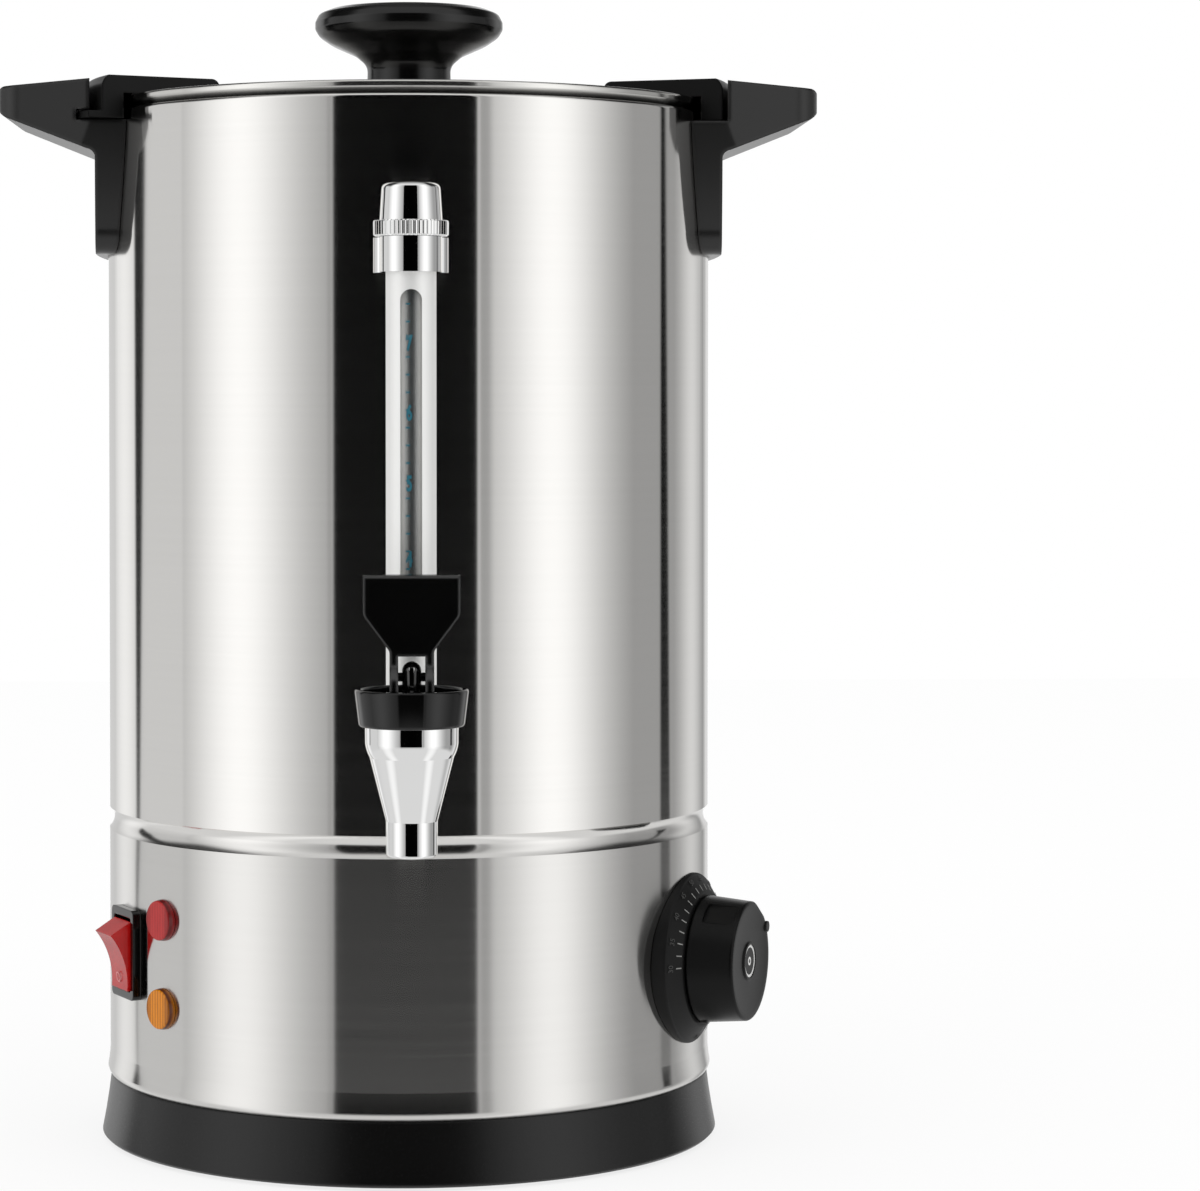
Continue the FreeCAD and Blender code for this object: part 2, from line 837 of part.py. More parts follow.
def shield_studs():
    body = new_body("shield_studs")
    spacer_foot = SHIELD_FOOT + s.wall
    for number in range(3):
        x, y = polar(s.stud_ring, 60 + 120 * number)
        rod(body, "spacer_%d" % number, s.spacer_radius, PLATE_FOOT - spacer_foot, shift(x, y, spacer_foot))
        rod(body, "stud_%d" % number, s.screw, spacer_foot - SHIELD_FOOT + 7, shift(x, y, SHIELD_FOOT - 6))


def shield_nuts():
    body = new_body("shield_nuts")
    for number in range(3):
        x, y = polar(s.stud_ring, 60 + 120 * number)
        prism(body, "nut_%d" % number, 4.0, 3.2, shift(x, y, SHIELD_FOOT - 3.2))
        rod(body, "nut_bore_%d" % number, s.screw + s.fit, 4, shift(x, y, SHIELD_FOOT - 3.6), True)


# Pieces on the wall are drawn with local Z outwards, zero on the urn's axis, and local Y up
def follow_wall(body, name, reach, clearance):
    """Hollows the back of a piece on the wall to the shell's round outside."""
    extrude(body, name, "XZ_Plane", [Ring(0, 0, R + clearance)], -reach, reach, True)


def thermostat_body():
    body = new_body("thermostat_body")
    front = INNER - s.thermostat_inset
    back = front - s.thermostat_depth
    loop = rounded_rectangle(s.thermostat_width, s.thermostat_height, as_size(2))
    extrude(body, "thermostat_block", "XY_Plane", [loop], back, front)
    rod(body, "thermostat_collar", s.spindle_radius + 3, 4, shift(z=front - 1))
    rod(body, "spindle_bore", s.spindle_radius + s.gap, 14, shift(z=front - 9), True)
    for sign in (-1, 1):
        place = shift(0, sign * s.thermostat_screw_offset, front - 11)
        rod(body, "thermostat_thread_%d" % (sign + 1), s.screw + s.fit, 12, place, True)
        block(body, "thermostat_tab_%d" % (sign + 1), 6.3, 0.8, 8, shift(0, sign * 10, back - 7.5))
    body.Placement = facing(s.dial_angle, s.dial_height)


BEZEL_FACE = R + s.bezel_face_proud
SPINDLE_FOOT = INNER - s.thermostat_inset - 8.5
SPINDLE_TOP = R + s.knob_proud - 6.3


def thermostat_spindle():
    body = new_body("thermostat_spindle")
    rod(body, "spindle", s.spindle_radius, SPINDLE_TOP - SPINDLE_FOOT, shift(z=SPINDLE_FOOT))
    flat_place = shift(0, s.spindle_radius + 3, BEZEL_FACE + 0.5)
    block(body, "spindle_flat", 10, 8, 20, flat_place, True)
    body.Placement = facing(s.dial_angle, s.dial_height)


def thermostat_screws():
    body = new_body("thermostat_screws")
    for sign in (-1, 1):
        place = shift(0, sign * s.thermostat_screw_offset, BEZEL_FACE - 2.7)
        add_screw(body, "thermostat_screw_%d" % (sign + 1), place, s.screw, s.screw_head, 2.4, 16)
    body.Placement = facing(s.dial_angle, s.dial_height)


def dial_bezel():
    body = new_body("dial_bezel")
    edge = R + s.bezel_proud
    bore = s.spindle_radius + 1.5
    turn(body, "bezel_ring", [
        (bore, R - 6),
        (s.bezel_radius, R - 6),
        (s.bezel_radius, edge - 1),
        Via(s.bezel_radius - 0.25, edge - 0.35),
        (s.bezel_radius - 0.8, edge),
        (s.bezel_face_radius + 0.6, BEZEL_FACE - 0.3),
        (s.bezel_face_radius, BEZEL_FACE),
        (bore, BEZEL_FACE),
    ])
    follow_wall(body, "bezel_back", s.bezel_radius + 5, s.fit)
    for sign in (-1, 1):
        up = sign * s.thermostat_screw_offset
        rod(body, "bezel_hole_%d" % (sign + 1), s.screw + s.fit, 12, shift(0, up, R - 5), True)
        rod(body, "bezel_sink_%d" % (sign + 1), s.screw_head + s.fit, 8, shift(0, up, BEZEL_FACE - 2.7), True)
    body.Placement = facing(s.dial_angle, s.dial_height)


# The dial knob is a cup with a dished face, a badge ring, a pointer nib and two grip recesses
def dial_knob():
    body = new_body("dial_knob")
    foot = BEZEL_FACE + s.gap
    face = R + s.knob_proud
    bore = s.spindle_radius + s.fit
    rim = s.knob_face_radius
    dish = face - s.knob_dish
    badge = s.badge_radius
    turn(body, "knob_turned", [
        (bore, foot),
        (s.knob_radius - 0.5, foot),
        (s.knob_radius, foot + 0.5),
        (rim, face - s.knob_edge),
        Via(rim - s.knob_edge * 0.3, face - s.knob_edge * 0.3),
        (rim - s.knob_edge, face),
        (rim - 2.2, face),
        Via(rim - 8.5, dish + 0.15),
        (badge + 1.2, dish),
        (badge + 1.0, dish + 0.5),
        (badge, dish + 0.5),
        (badge, dish + 0.1),
        (0, dish + 0.1),
        (0, SPINDLE_TOP + 0.3),
        (bore, SPINDLE_TOP + 0.3),
    ])
    for number, angle in enumerate((123, 303)):
        x, y = polar(s.knob_radius, angle)
        place = shift(x, y, foot + 4, turned=Rotation(Vector(0, 0, 1), angle))
        block(body, "grip_recess_%d" % number, 3.6, 10.0, 11.6, place, True)
    x, y = polar(s.knob_face_radius - 1.4 + 5, 57)
    place = shift(x, y, face - 9, turned=Rotation(Vector(0, 0, 1), 57))
    block(body, "grip_flat", 10, 20, 12, place, True)
    x, y = polar(s.knob_face_radius - 0.6, 29)
    rod(body, "pointer_nib", 2.0, 2.7, shift(x, y, face - 2.2))
    x, y = polar(s.knob_radius - 0.9, 252)
    rod(body, "index_nib", 1.5, 3.0, shift(x, y, foot + 0.1))
    body.Placement = facing(s.dial_angle, s.dial_height)


# The switch is a snap-in housing with the rocker on two trunnions
SWITCH_FACE = R + s.switch_proud
ROCKER_PIVOT = SWITCH_FACE - s.rocker_pivot_depth


def switch_housing():
    body = new_body("switch_housing")
    bezel = rounded_rectangle(s.switch_width, s.switch_length, s.switch_corner)
    extrude(body, "switch_bezel", "XY_Plane", [bezel], R - 4, SWITCH_FACE)
    follow_wall(body, "switch_seat", s.switch_length, s.fit)
    inside = rectangle(s.switch_back_width, s.switch_back_length)
    extrude(body, "switch_case", "XY_Plane", [inside], SWITCH_FACE - 1 - s.switch_depth, SWITCH_FACE - 1)
    slot = rounded_rectangle(s.switch_slot_width, s.switch_slot_length, as_size(1))
    extrude(body, "rocker_slot", "XY_Plane", [slot], SWITCH_FACE - 12, SWITCH_FACE + 1, True)
    place = shift(-s.switch_back_width / 2, 0, ROCKER_PIVOT, turned=ALONG_X)
    rod(body, "trunnion_bore", s.trunnion_radius + s.fit, s.switch_back_width, place, True)
    body.Placement = facing(-s.switch_angle, s.switch_height)


def switch_rocker():
    body = new_body("switch_rocker")
    half = s.rocker_half
    extrude(body, "rocker", "YZ_Plane", [[
        (-half + 2.5, -s.rocker_drop),
        (half - 2.5, -s.rocker_drop),
        (half + s.rocker_swell, 0.8),
        (half, s.rocker_rise),
        Via(0, s.rocker_rise - s.rocker_dish),
        (-half, s.rocker_rise),
        (-half - s.rocker_swell, 0.8),
    ]], -s.rocker_width / 2, s.rocker_width / 2)
    reach = s.rocker_width / 2 + s.trunnion_length
    rod(body, "trunnions", s.trunnion_radius, 2 * reach, shift(-reach, 0, 0, turned=ALONG_X))
    tilt = Placement(Vector(0, 0, ROCKER_PIVOT.number), Rotation(Vector(1, 0, 0), s.rocker_tilt.number))
    body.Placement = facing(-s.switch_angle, s.switch_height).multiply(tilt)


def switch_terminals():
    body = new_body("switch_terminals")
    back = SWITCH_FACE - 1 - s.switch_depth
    for number, up in enumerate((-9, 0, 9)):
        for sign in (-1, 1):
            place = shift(sign * 4.5, up, back - 8)
            block(body, "terminal_%d_%d" % (number, sign + 1), 0.8, 6.3, 8, place)
    body.Placement = facing(-s.switch_angle, s.switch_height)


def lamp_lens(label, height):
    body = new_body(label)
    face = R + s.lamp_proud
    turn(body, label + "_head", [
        (0, R - 3),
        (s.lamp_radius, R - 3),
        (s.lamp_radius, R + 0.6),
        (s.lamp_face_radius + 0.4, face - 0.5),
        Via(s.lamp_face_radius + 0.2, face - 0.15),
        (s.lamp_face_radius - 0.3, face),
        (0, face),
    ])
    follow_wall(body, label + "_seat", s.lamp_radius + 5, s.fit)
    rod(body, label + "_barrel", s.lamp_barrel_radius, s.lamp_depth, shift(z=R + 1 - s.lamp_depth))
    rod(body, label + "_bore", s.lamp_barrel_radius - 1.7, s.lamp_depth, shift(z=R - s.lamp_depth), True)
    body.Placement = facing(-s.lamp_angle, height)


def lamp_bulbs():
    body = new_body("lamp_bulbs")
    for number, height in enumerate((s.heat_lamp_height, s.warm_lamp_height)):
        place = facing(-s.lamp_angle, height)
        radius = s.lamp_barrel_radius - 2.0
        rod(body, "bulb_%d" % number, radius, s.lamp_depth, place.multiply(shift(z=R - s.lamp_depth - 2)))


def lamp_clips():
    body = new_body("lamp_clips")
    for number, height in enumerate((s.heat_lamp_height, s.warm_lamp_height)):
        place = facing(-s.lamp_angle, height).multiply(shift(z=INNER - 1.7))
        rod(body, "clip_%d" % number, s.lamp_radius, 1.0, place)
        hole = place.multiply(shift(z=-1))
        rod(body, "clip_hole_%d" % number, s.lamp_barrel_radius + s.fit, 3, hole, True)


# The inlet is an upright appliance socket with three blades, screwed to the back of the shell
def power_inlet():
    body = new_body("power_inlet")
    flange = rounded_rectangle(s.inlet_width, s.inlet_length, as_size(3))
    face = R + s.inlet_proud
    extrude(body, "inlet_flange", "XY_Plane", [flange], R - 3, face)
    follow_wall(body, "inlet_seat", s.inlet_length, s.fit)
    wall = 2 * s.inlet_wall
    case = rectangle(s.inlet_socket_width + wall, s.inlet_socket_length + wall)
    extrude(body, "inlet_case", "XY_Plane", [case], face - s.inlet_depth, face - 0.5)
    socket = rounded_rectangle(s.inlet_socket_width, s.inlet_socket_length, as_size(3))
    extrude(body, "inlet_socket", "XY_Plane", [socket], face - 16, face + 1, True)
    for sign in (-1, 1):
        place = shift(0, sign * s.inlet_screw_offset, R - 5)
        rod(body, "inlet_bore_%d" % (sign + 1), s.small_screw + s.fit, 12, place, True)
    for number, (across, up) in enumerate(inlet_blades()):
        place = shift(across, up, face - s.inlet_depth - 1)
        block(body, "blade_slot_%d" % number, 2.0, 4.0, 8, place, True)
    body.Placement = facing(180, s.inlet_height)


def inlet_blades():
    return [(2.0, 0.0), (-2.0, 7.0), (-2.0, -7.0)]


def inlet_pins():
    body = new_body("inlet_pins")
    foot = R + s.inlet_proud - s.inlet_depth - 8
    for number, (across, up) in enumerate(inlet_blades()):
        block(body, "blade_%d" % number, 1.8, 3.8, s.inlet_depth + 6, shift(across, up, foot))
    body.Placement = facing(180, s.inlet_height)


def inlet_screws():
    body = new_body("inlet_screws")
    for sign in (-1, 1):
        place = shift(0, sign * s.inlet_screw_offset, R + s.inlet_proud)
        add_screw(body, "inlet_screw_%d" % (sign + 1), place, s.small_screw, 2.5, 1.0, 7)
    body.Placement = facing(180, s.inlet_height)


# The tap is drawn about its own upright axis, with local +Y towards the shell. It stands a
# fixed spacing in front of the gauge, so that lever and bonnet clear the guard.
TAP_REACH = s.gauge_reach + s.tap_spacing
TAP = shift(0, -(R + TAP_REACH), 0)
NECK_TOP = s.tap_top + s.neck_height
BONNET_FLOOR = NECK_TOP + s.bonnet_floor


def tap_body():
    body = new_body("tap_body")
    spout = s.spout_height
    outer = s.spout_radius
    turn(body, "tap_turned", [
        (s.spout_bore, spout),
        (outer - 1.2, spout),
        Via(outer - 0.35, spout + 0.35),
        (outer, spout + 1.2),
        (outer + 0.05, spout + 12.1),
        (outer + 5.5, s.seat_height + 6.9),
        Via(outer + 6.5, s.seat_height + 9.3),
        (outer + 6.95, s.seat_height + 11.5),
        (s.neck_radius + 0.4, s.tap_top),
        (s.neck_radius, s.tap_top),
        (s.neck_radius, NECK_TOP),
        (s.chamber_radius, NECK_TOP),
        (s.chamber_radius, s.seat_height + 6),
        (s.cup_radius + 0.7, s.seat_height),
        (s.seat_bore, s.seat_height),
        (s.seat_bore, s.seat_height - 4),
        (s.spout_bore, s.seat_height - 6),
    ])
    along = Rotation(Vector(1, 0, 0), -90)
    start = s.chamber_radius + 1
    rod(body, "shank", s.shank_radius, TAP_REACH - 3.1 - start, shift(0, start, s.shank_height, along))
    rod(body, "shank_thread", s.thread_radius, TAP_REACH + s.shank_inside - start,
        shift(0, start, s.shank_height, along))
    gauge = s.tap_spacing
    rod(body, "gauge_socket", s.guard_radius, s.socket_top - s.shank_height, shift(0, gauge, s.shank_height))
    rod(body, "seal_bore", s.seal_radius + 0.05, 10, shift(0, gauge, s.glass_foot + 3), True)
    rod(body, "glass_bore", s.glass_radius + s.fit, 10, shift(0, gauge, s.glass_foot - s.gap), True)
    rod(body, "water_bore", s.glass_radius - 2, 12, shift(0, gauge, s.shank_height), True)
    rod(body, "shank_water_bore", s.shank_bore, TAP_REACH + s.shank_inside + 1,
        shift(0, 0, s.shank_height, along), True)
    body.Placement = TAP


def shank_washers():
    body = new_body("shank_washers")
    out = R + 3.1 - s.fit
    extrude(body, "outer_washer", "XY_Plane", [Ring(0, 0, s.washer_radius)], R - 2, out)
    follow_wall(body, "outer_washer_seat", s.washer_radius + 5, s.fit)
    inner = INNER - 0.9
    rod(body, "inner_washer", s.washer_radius, s.washer_thickness, shift(z=inner - s.washer_thickness))
    rod(body, "washer_bore", s.thread_radius + s.fit, 30, shift(z=R - 15), True)
    body.Placement = facing(0, s.shank_height)


def shank_nut():
    body = new_body("shank_nut")
    top = INNER - 0.9 - s.washer_thickness
    prism(body, "nut", s.nut_radius, s.nut_thickness, shift(z=top - s.nut_thickness))
    rod(body, "nut_thread", s.thread_radius + s.fit, 20, shift(z=top - s.nut_thickness - 5), True)
    body.Placement = facing(0, s.shank_height)


def tap_bonnet():
    body = new_body("tap_bonnet")
    foot = s.tap_top + 0.2
    rim = foot + s.bonnet_rise
    bore = s.stem_radius + s.gap
    turn(body, "bonnet_cup", [
        (bore, NECK_TOP),
        (s.neck_radius + 0.25, NECK_TOP),
        (s.neck_radius + 0.25, foot),
        (s.bonnet_radius - 0.4, foot),
        (s.bonnet_radius, foot + 0.4),
        (s.bonnet_rim_radius, rim - 0.8),
        Via(s.bonnet_rim_radius - 0.3, rim - 0.2),
        (s.bonnet_rim_radius - 0.9, rim),
        (s.bonnet_cup_radius + 0.6, rim),
        (s.bonnet_cup_radius, rim - 0.6),
        (s.bonnet_cup_radius, BONNET_FLOOR + 0.5),
        (s.bonnet_cup_radius - 0.5, BONNET_FLOOR),
        (bore, BONNET_FLOOR),
    ])
    body.Placement = TAP


def tap_stem():
    body = new_body("tap_stem")
    foot = s.seat_height + 1.5
    eye = s.stem_eye_radius
    top = s.pin_height + s.stem_eye_rise
    turn(body, "stem", [
        (0, foot),
        (5, foot),
        (5, foot + 1.5),
        (s.stem_radius, foot + 1.5),
        (s.stem_radius, s.pin_height - 5.4),
        (eye, s.pin_height - 4.4),
        (eye, top - eye),
        Via(eye * math.sqrt(0.5), top - eye * (1 - math.sqrt(0.5))),
        (0, top),
    ])
    place = shift(-10, 0, s.pin_height, ALONG_X)
    rod(body, "pin_bore", s.pin_radius + 0.15, 20, place, True)
    body.Placement = TAP


def seat_cup():
    body = new_body("seat_cup")
    foot = s.seat_height + s.gap
    top = foot + s.cup_height
    pocket = s.seat_height + 1.5
    turn(body, "cup", [
        (0, foot),
        (s.cup_radius, foot),
        (s.cup_radius, top - 1),
        Via(s.cup_radius - 0.3, top - 0.3),
        (s.cup_radius - 1, top),
        (s.stem_radius + 0.05, top),
        (s.stem_radius + 0.05, pocket + 1.55),
        (5.05, pocket + 1.55),
        (5.05, pocket - 0.05),
        (0, pocket - 0.05),
    ])
    body.Placement = TAP


# The spring's wire climbs in half turns, each made of two arcs that meet tangentially
def helix_point(radius, pitch, foot, angle):
    return Vector(radius * math.cos(angle), radius * math.sin(angle), foot + pitch * angle / (2 * math.pi))


def helix_tangent(radius, pitch, angle):
    climb = pitch / (2 * math.pi)
    return Vector(-radius * math.sin(angle), radius * math.cos(angle), climb).normalize()


def tangent_arc(start, tangent, end):
    """The arc that leaves a point along a tangent and ends at another point."""
    chord = end - start
    along = tangent.dot(chord)
    rise = chord - tangent * along
    radius = chord.dot(chord) / (2 * rise.Length)
    centre = start + rise.normalize() * radius
    middle = centre + ((start + end) * 0.5 - centre).normalize() * radius
    return Part.Arc(start, middle, end).toShape()


def helix_wire(radius, pitch, foot, turns, steps=4):
    edges = []
    for step in range(int(turns * steps)):
        low = 2 * math.pi * step / steps
        high = 2 * math.pi * (step + 1) / steps
        first = helix_point(radius, pitch, foot, low)
        last = helix_point(radius, pitch, foot, high)
        leave = helix_tangent(radius, pitch, low)
        arrive = helix_tangent(radius, pitch, high)
        span = last - first
        both = leave + arrive
        square = both.dot(both) - 4
        slope = -2 * span.dot(both)
        length = (-slope - math.sqrt(slope * slope - 4 * square * span.dot(span))) / (2 * square)
        joint = (first + leave * length + last - arrive * length) * 0.5
        edges.append(tangent_arc(first, leave, joint))
        edges.append(tangent_arc(last, arrive * -1, joint))
    return Part.Wire(edges)


def tap_spring():
    foot = s.seat_height + s.gap + s.cup_height + s.spring_wire / 2 + 0.1
    top = NECK_TOP - s.spring_wire / 2 - 0.1
    radius = s.spring_radius.number
    pitch = (top - foot).number / s.spring_turns.number
    path = helix_wire(radius, pitch, foot.number, s.spring_turns.number)
    start = helix_point(radius, pitch, foot.number, 0)
    circle = Part.Circle(start, helix_tangent(radius, pitch, 0), s.spring_wire.number / 2)
    profile = Part.Wire([circle.toShape()])
    spring = doc.addObject("Part::Feature", "tap_spring")
    spring.Label = "tap_spring"
    spring.Shape = path.makePipeShell([profile], True, False)
    spring.Placement = TAP
    nodes.append(spring)


# The lever's cam foot is flat at rest, and its front rolls on the bonnet and lifts the stem
def cam_point(angle):
    """Contact point on the cam, from the pin, once the lever has tilted by an angle."""
    turned = angle * math.pi / 180
    height = s.cam_height + s.cam_rate * turned
    return (
        -(height * sine(angle)) - s.cam_rate * cosine(angle),
        s.cam_rate * sine(angle) - height * cosine(angle),
    )


def tap_lever():
    body = new_body("tap_lever")
    full = s.lever_stroke
    top = s.lever_top
    front = cam_point(full)
    extrude(body, "lever_side", "YZ_Plane", [[
        cam_point(full * 0),
        Via(*cam_point(full / 2)),
        front,
        (front[0] - 0.4, front[1] + 1.5),
        Via(front[0] + 1.0, front[1] + 6.5),
        (-8.2, 4.0),
        (-6.6, s.lever_neck),
        (-5.6, s.lever_shoulder),
        (-5.0, top - 1.5),
        Via(-4.5, top - 0.4),
        (-3.4, top),
        (2.6, top),
        Via(3.8, top - 0.4),
        (4.4, top - 1.6),
        (5.2, s.lever_shoulder),
        (7.4, s.lever_neck - 3),
        (9.2, -2.0),
        (8.9, -6.8),
        Via(8.3, -8.0),
        (7.0, -s.cam_height),
    ]], -s.lever_width / 2, s.lever_width / 2)
    wide = s.lever_width / 2
    neck = s.lever_neck_width / 2
    for sign in (-1, 1):
        extrude(body, "lever_waist_%d" % (sign + 1), "XZ_Plane", [[
            (sign * wide, top + 5),
            (sign * wide, s.lever_shoulder + 1),
            Via(sign * (wide - 0.25), s.lever_shoulder),
            (sign * (wide - 0.9), s.lever_shoulder - 1.1),
            (sign * (neck + 0.6), s.lever_neck + 0.8),
            Via(sign * (neck + 0.15), s.lever_neck),
            (sign * neck, s.lever_neck - 1),
            (sign * neck, -20),
            (sign * (wide + 10), -20),
            (sign * (wide + 10), top + 5),
        ]], -30, 30, True)
    window = s.lever_window / 2
    extrude(body, "lever_slot", "XZ_Plane", [[
        (-window, -20),
        (window, -20),
        (window, s.lever_window_top),
        (-window, s.lever_window_top),
    ]], -30, 30, True)
    rod(body, "lever_bore", s.pin_radius + 0.05, s.lever_width, shift(-wide, 0, 0, ALONG_X), True)
    body.Placement = TAP.multiply(shift(z=s.pin_height))


def lever_pin():
    body = new_body("lever_pin")
    length = s.lever_neck_width - 0.4
    rod(body, "pin", s.pin_radius, length, shift(-length / 2, 0, s.pin_height, ALONG_X))
    body.Placement = TAP


# The gauge is a glass tube in a slotted guard, between the tap's socket and a holder above
GAUGE = shift(0, -(R + s.gauge_reach), 0)
HOLDER_TOP = s.holder_foot + s.holder_rise
GLASS_TOP = HOLDER_TOP - 2.7


def gauge_glass():
    body = new_body("gauge_glass")
    length = GLASS_TOP - s.glass_foot
    rod(body, "glass", s.glass_radius, length, shift(z=s.glass_foot))
    rod(body, "glass_bore", s.glass_radius - s.glass_wall, length + 2, shift(z=s.glass_foot - 1), True)
    body.Placement = GAUGE


def gauge_guard():
    body = new_body("gauge_guard")
    top = s.holder_foot + 5.3
    height = top - s.socket_top
    rod(body, "guard", s.guard_radius, height, shift(z=s.socket_top))
    rod(body, "guard_bore", s.guard_radius - s.guard_wall, height + 2, shift(z=s.socket_top - 1), True)
    half = s.guard_slot_width / 2
    low = s.guard_slot_foot + half
    high = s.guard_slot_top - half
    extrude(body, "guard_slot", "XZ_Plane", [[
        (half, low),
        (half, high),
        Via(0, s.guard_slot_top),
        (-half, high),
        (-half, low),
        Via(0, s.guard_slot_foot),
    ]], 0, 20, True)
    body.Placement = GAUGE


def gauge_seals():
    body = new_body("gauge_seals")
    feet = (s.glass_foot + 3, GLASS_TOP - s.seal_height + 0.2)
    for number, foot in enumerate(feet):
        height = s.seal_height - 0.6
        rod(body, "seal_%d" % number, s.seal_radius, height, shift(z=foot))
        rod(body, "seal_hole_%d" % number, s.glass_radius + 0.05, height + 2, shift(z=foot - 1), True)
    body.Placement = GAUGE


def gauge_holder():
    body = new_body("gauge_holder")
    foot = s.holder_foot
    half = s.holder_width / 2
    extrude(body, "holder_arm", "XY_Plane", [[
        (-half, s.gauge_reach + 3),
        (-half, 9),
        Via(-half + 0.9, 5.6),
        (-half + 4, 4),
        (half - 4, 4),
        Via(half - 0.9, 5.6),
        (half, 9),
        (half, s.gauge_reach + 3),
    ]], foot, HOLDER_TOP)
    rod(body, "collar", s.holder_radius, s.holder_rise, shift(z=foot))
    wall = Placement(Vector(0, (R + s.gauge_reach).number, foot.number - 5), Rotation())
    rod(body, "holder_seat", R + s.fit, 30, wall, True)
    rod(body, "guard_seat", s.guard_radius + 0.05, 6.4, shift(z=foot - 1), True)
    rod(body, "collar_bore", s.seal_radius + 0.05, 20, shift(z=foot - 1), True)
    place = shift(0, s.gauge_reach - 12, foot + s.holder_rise / 2, Rotation(Vector(1, 0, 0), -90))
    rod(body, "holder_thread", s.screw + s.fit, 20, place, True)
    body.Placement = GAUGE


def holder_screw():
    body = new_body("holder_screw")
    place = facing(0, s.holder_foot + s.holder_rise / 2).multiply(shift(z=INNER - 0.1, turned=DOWNWARD))
    add_screw(body, "holder_screw", place, s.screw, s.screw_head, 2.0, 11)


def gauge_ring():
    body = new_body("gauge_ring")
    foot = HOLDER_TOP + 0.1
    top = foot + s.ring_height
    bore = s.seal_radius + 0.05
    turn(body, "ring", [
        (bore, foot),
        (s.ring_radius - 1.0, foot),
        (s.ring_radius, foot + 1.0),
        (s.ring_radius, top - 0.5),
        (s.ring_radius - 0.5, top),
        (bore, top),
    ])
    place = shift(s.ring_radius + 0.25, 0, foot + 0.9)
    flute = rod(body, "flute", s.flute_radius, s.ring_height + 2, place, True)
    around(body, "flutes", flute, s.ring_flutes)
    body.Placement = GAUGE


def gauge_cap():
    body = new_body("gauge_cap")
    foot = HOLDER_TOP + 0.1 + s.ring_height
    top = foot + s.cap_height
    edge = s.cap_edge
    neck_foot = GLASS_TOP + 0.2
    turn(body, "cap", [
        (s.glass_radius - s.glass_wall, neck_foot),
        (s.seal_radius - 0.1, neck_foot),
        (s.seal_radius - 0.1, foot),
        (s.cap_radius, foot),
        (s.cap_face_radius, top - edge),
        Via(s.cap_face_radius - edge * (1 - math.sqrt(0.5)), top - edge * (1 - math.sqrt(0.5))),
        (s.cap_face_radius - edge, top),
        (s.vent_hole, top),
        (s.vent_hole, top - 3),
        (s.glass_radius - s.glass_wall, top - 4),
    ])
    body.Placement = GAUGE


# The lid is a pressed dome with a skirt; a cone under its edge rests just clear of the rim
LID_TOP = RIM + s.lid_rise
LID = Placement(Vector(0, 0, 0), Rotation(Vector(0, 0, 1), s.lid_turn.number))


def dome_height(radius):
    """Height of the lid's top at a radius, on a shallow parabola from crown to shoulder."""
    share = (radius / s.lid_shoulder) * (radius / s.lid_shoulder)
    return LID_TOP - share * (s.lid_rise - s.lid_edge_top)


def lid():
    body = new_body("lid")
    half = s.lid_shoulder * 0.55
    edge = R - s.lid_edge_inset
    skirt = R - s.lid_skirt_inset
    cone_top = skirt + (s.lid_edge_foot + 1)
    turn(body, "lid_pressing", [
        (0, LID_TOP - s.wall),
        (0, LID_TOP),
        Via(half, dome_height(half)),
        (s.lid_shoulder, RIM + s.lid_edge_top),
        (edge - 1, RIM + s.lid_edge_top),
        Via(edge - 0.3, RIM + s.lid_edge_top - 0.3),
        (edge, RIM + s.lid_edge_top - 1),
        (edge, RIM + s.lid_edge_foot + 0.5),
        (cone_top, RIM + s.lid_edge_foot),
        (skirt, RIM - 1),
        (skirt, RIM - s.lid_skirt),
        (skirt - s.wall, RIM - s.lid_skirt),
        (skirt - s.wall, RIM + s.lid_edge_top - s.wall),
        (s.lid_shoulder, RIM + s.lid_edge_top - s.wall),
        Via(half, dome_height(half) - s.wall),
    ])
    rod(body, "knob_screw_hole", s.screw + 2 * s.fit, 6, shift(z=LID_TOP - 4), True)
    for number, (x, y) in enumerate(ear_screw_spots()):
        place = shift(x, y, RIM)
        rod(body, "ear_hole_%d" % number, s.small_screw + 2 * s.fit, 20, place, True)
    body.Placement = LID


def ear_screw_spots():
    radius = s.shell_radius - 21
    return [polar(radius, side + sign * 10) for side in (0, 180) for sign in (-1, 1)]


def lid_knob():
    body = new_body("lid_knob")
    foot = LID_TOP + s.fit
    top = LID_TOP + s.knob_rise
    stem = s.knob_stem_radius
    cap = s.knob_cap_radius
    turn(body, "knob", [
        (s.screw + s.fit, foot),
        (stem + 0.6, foot),
        (stem, foot + 0.6),
        (stem, top - 19.5),
        Via(stem + 1.5, top - 16.2),
        (stem + 4.9, top - 14.4),
        Via(stem + 12.9, top - 10.6),
        (cap - 1.8, top - 7.1),
        Via(cap - 0.35, top - 5.3),
        (cap, top - 4.3),
        Via(cap - 1.9, top - 1.6),
        (s.knob_flat_radius, top - 0.1),
        (0, top),
        (0, foot + 20),
        (s.screw + s.fit, foot + 20),
    ])
    body.Placement = LID


def knob_screw():
    body = new_body("knob_screw")
    seat = LID_TOP - s.wall - s.fit
    rod(body, "knob_washer", 9, 1, shift(z=seat - 1))
    add_screw(body, "knob_screw", shift(z=seat - 1, turned=DOWNWARD), s.screw, 4, 2.4, 19)
    body.Placement = LID


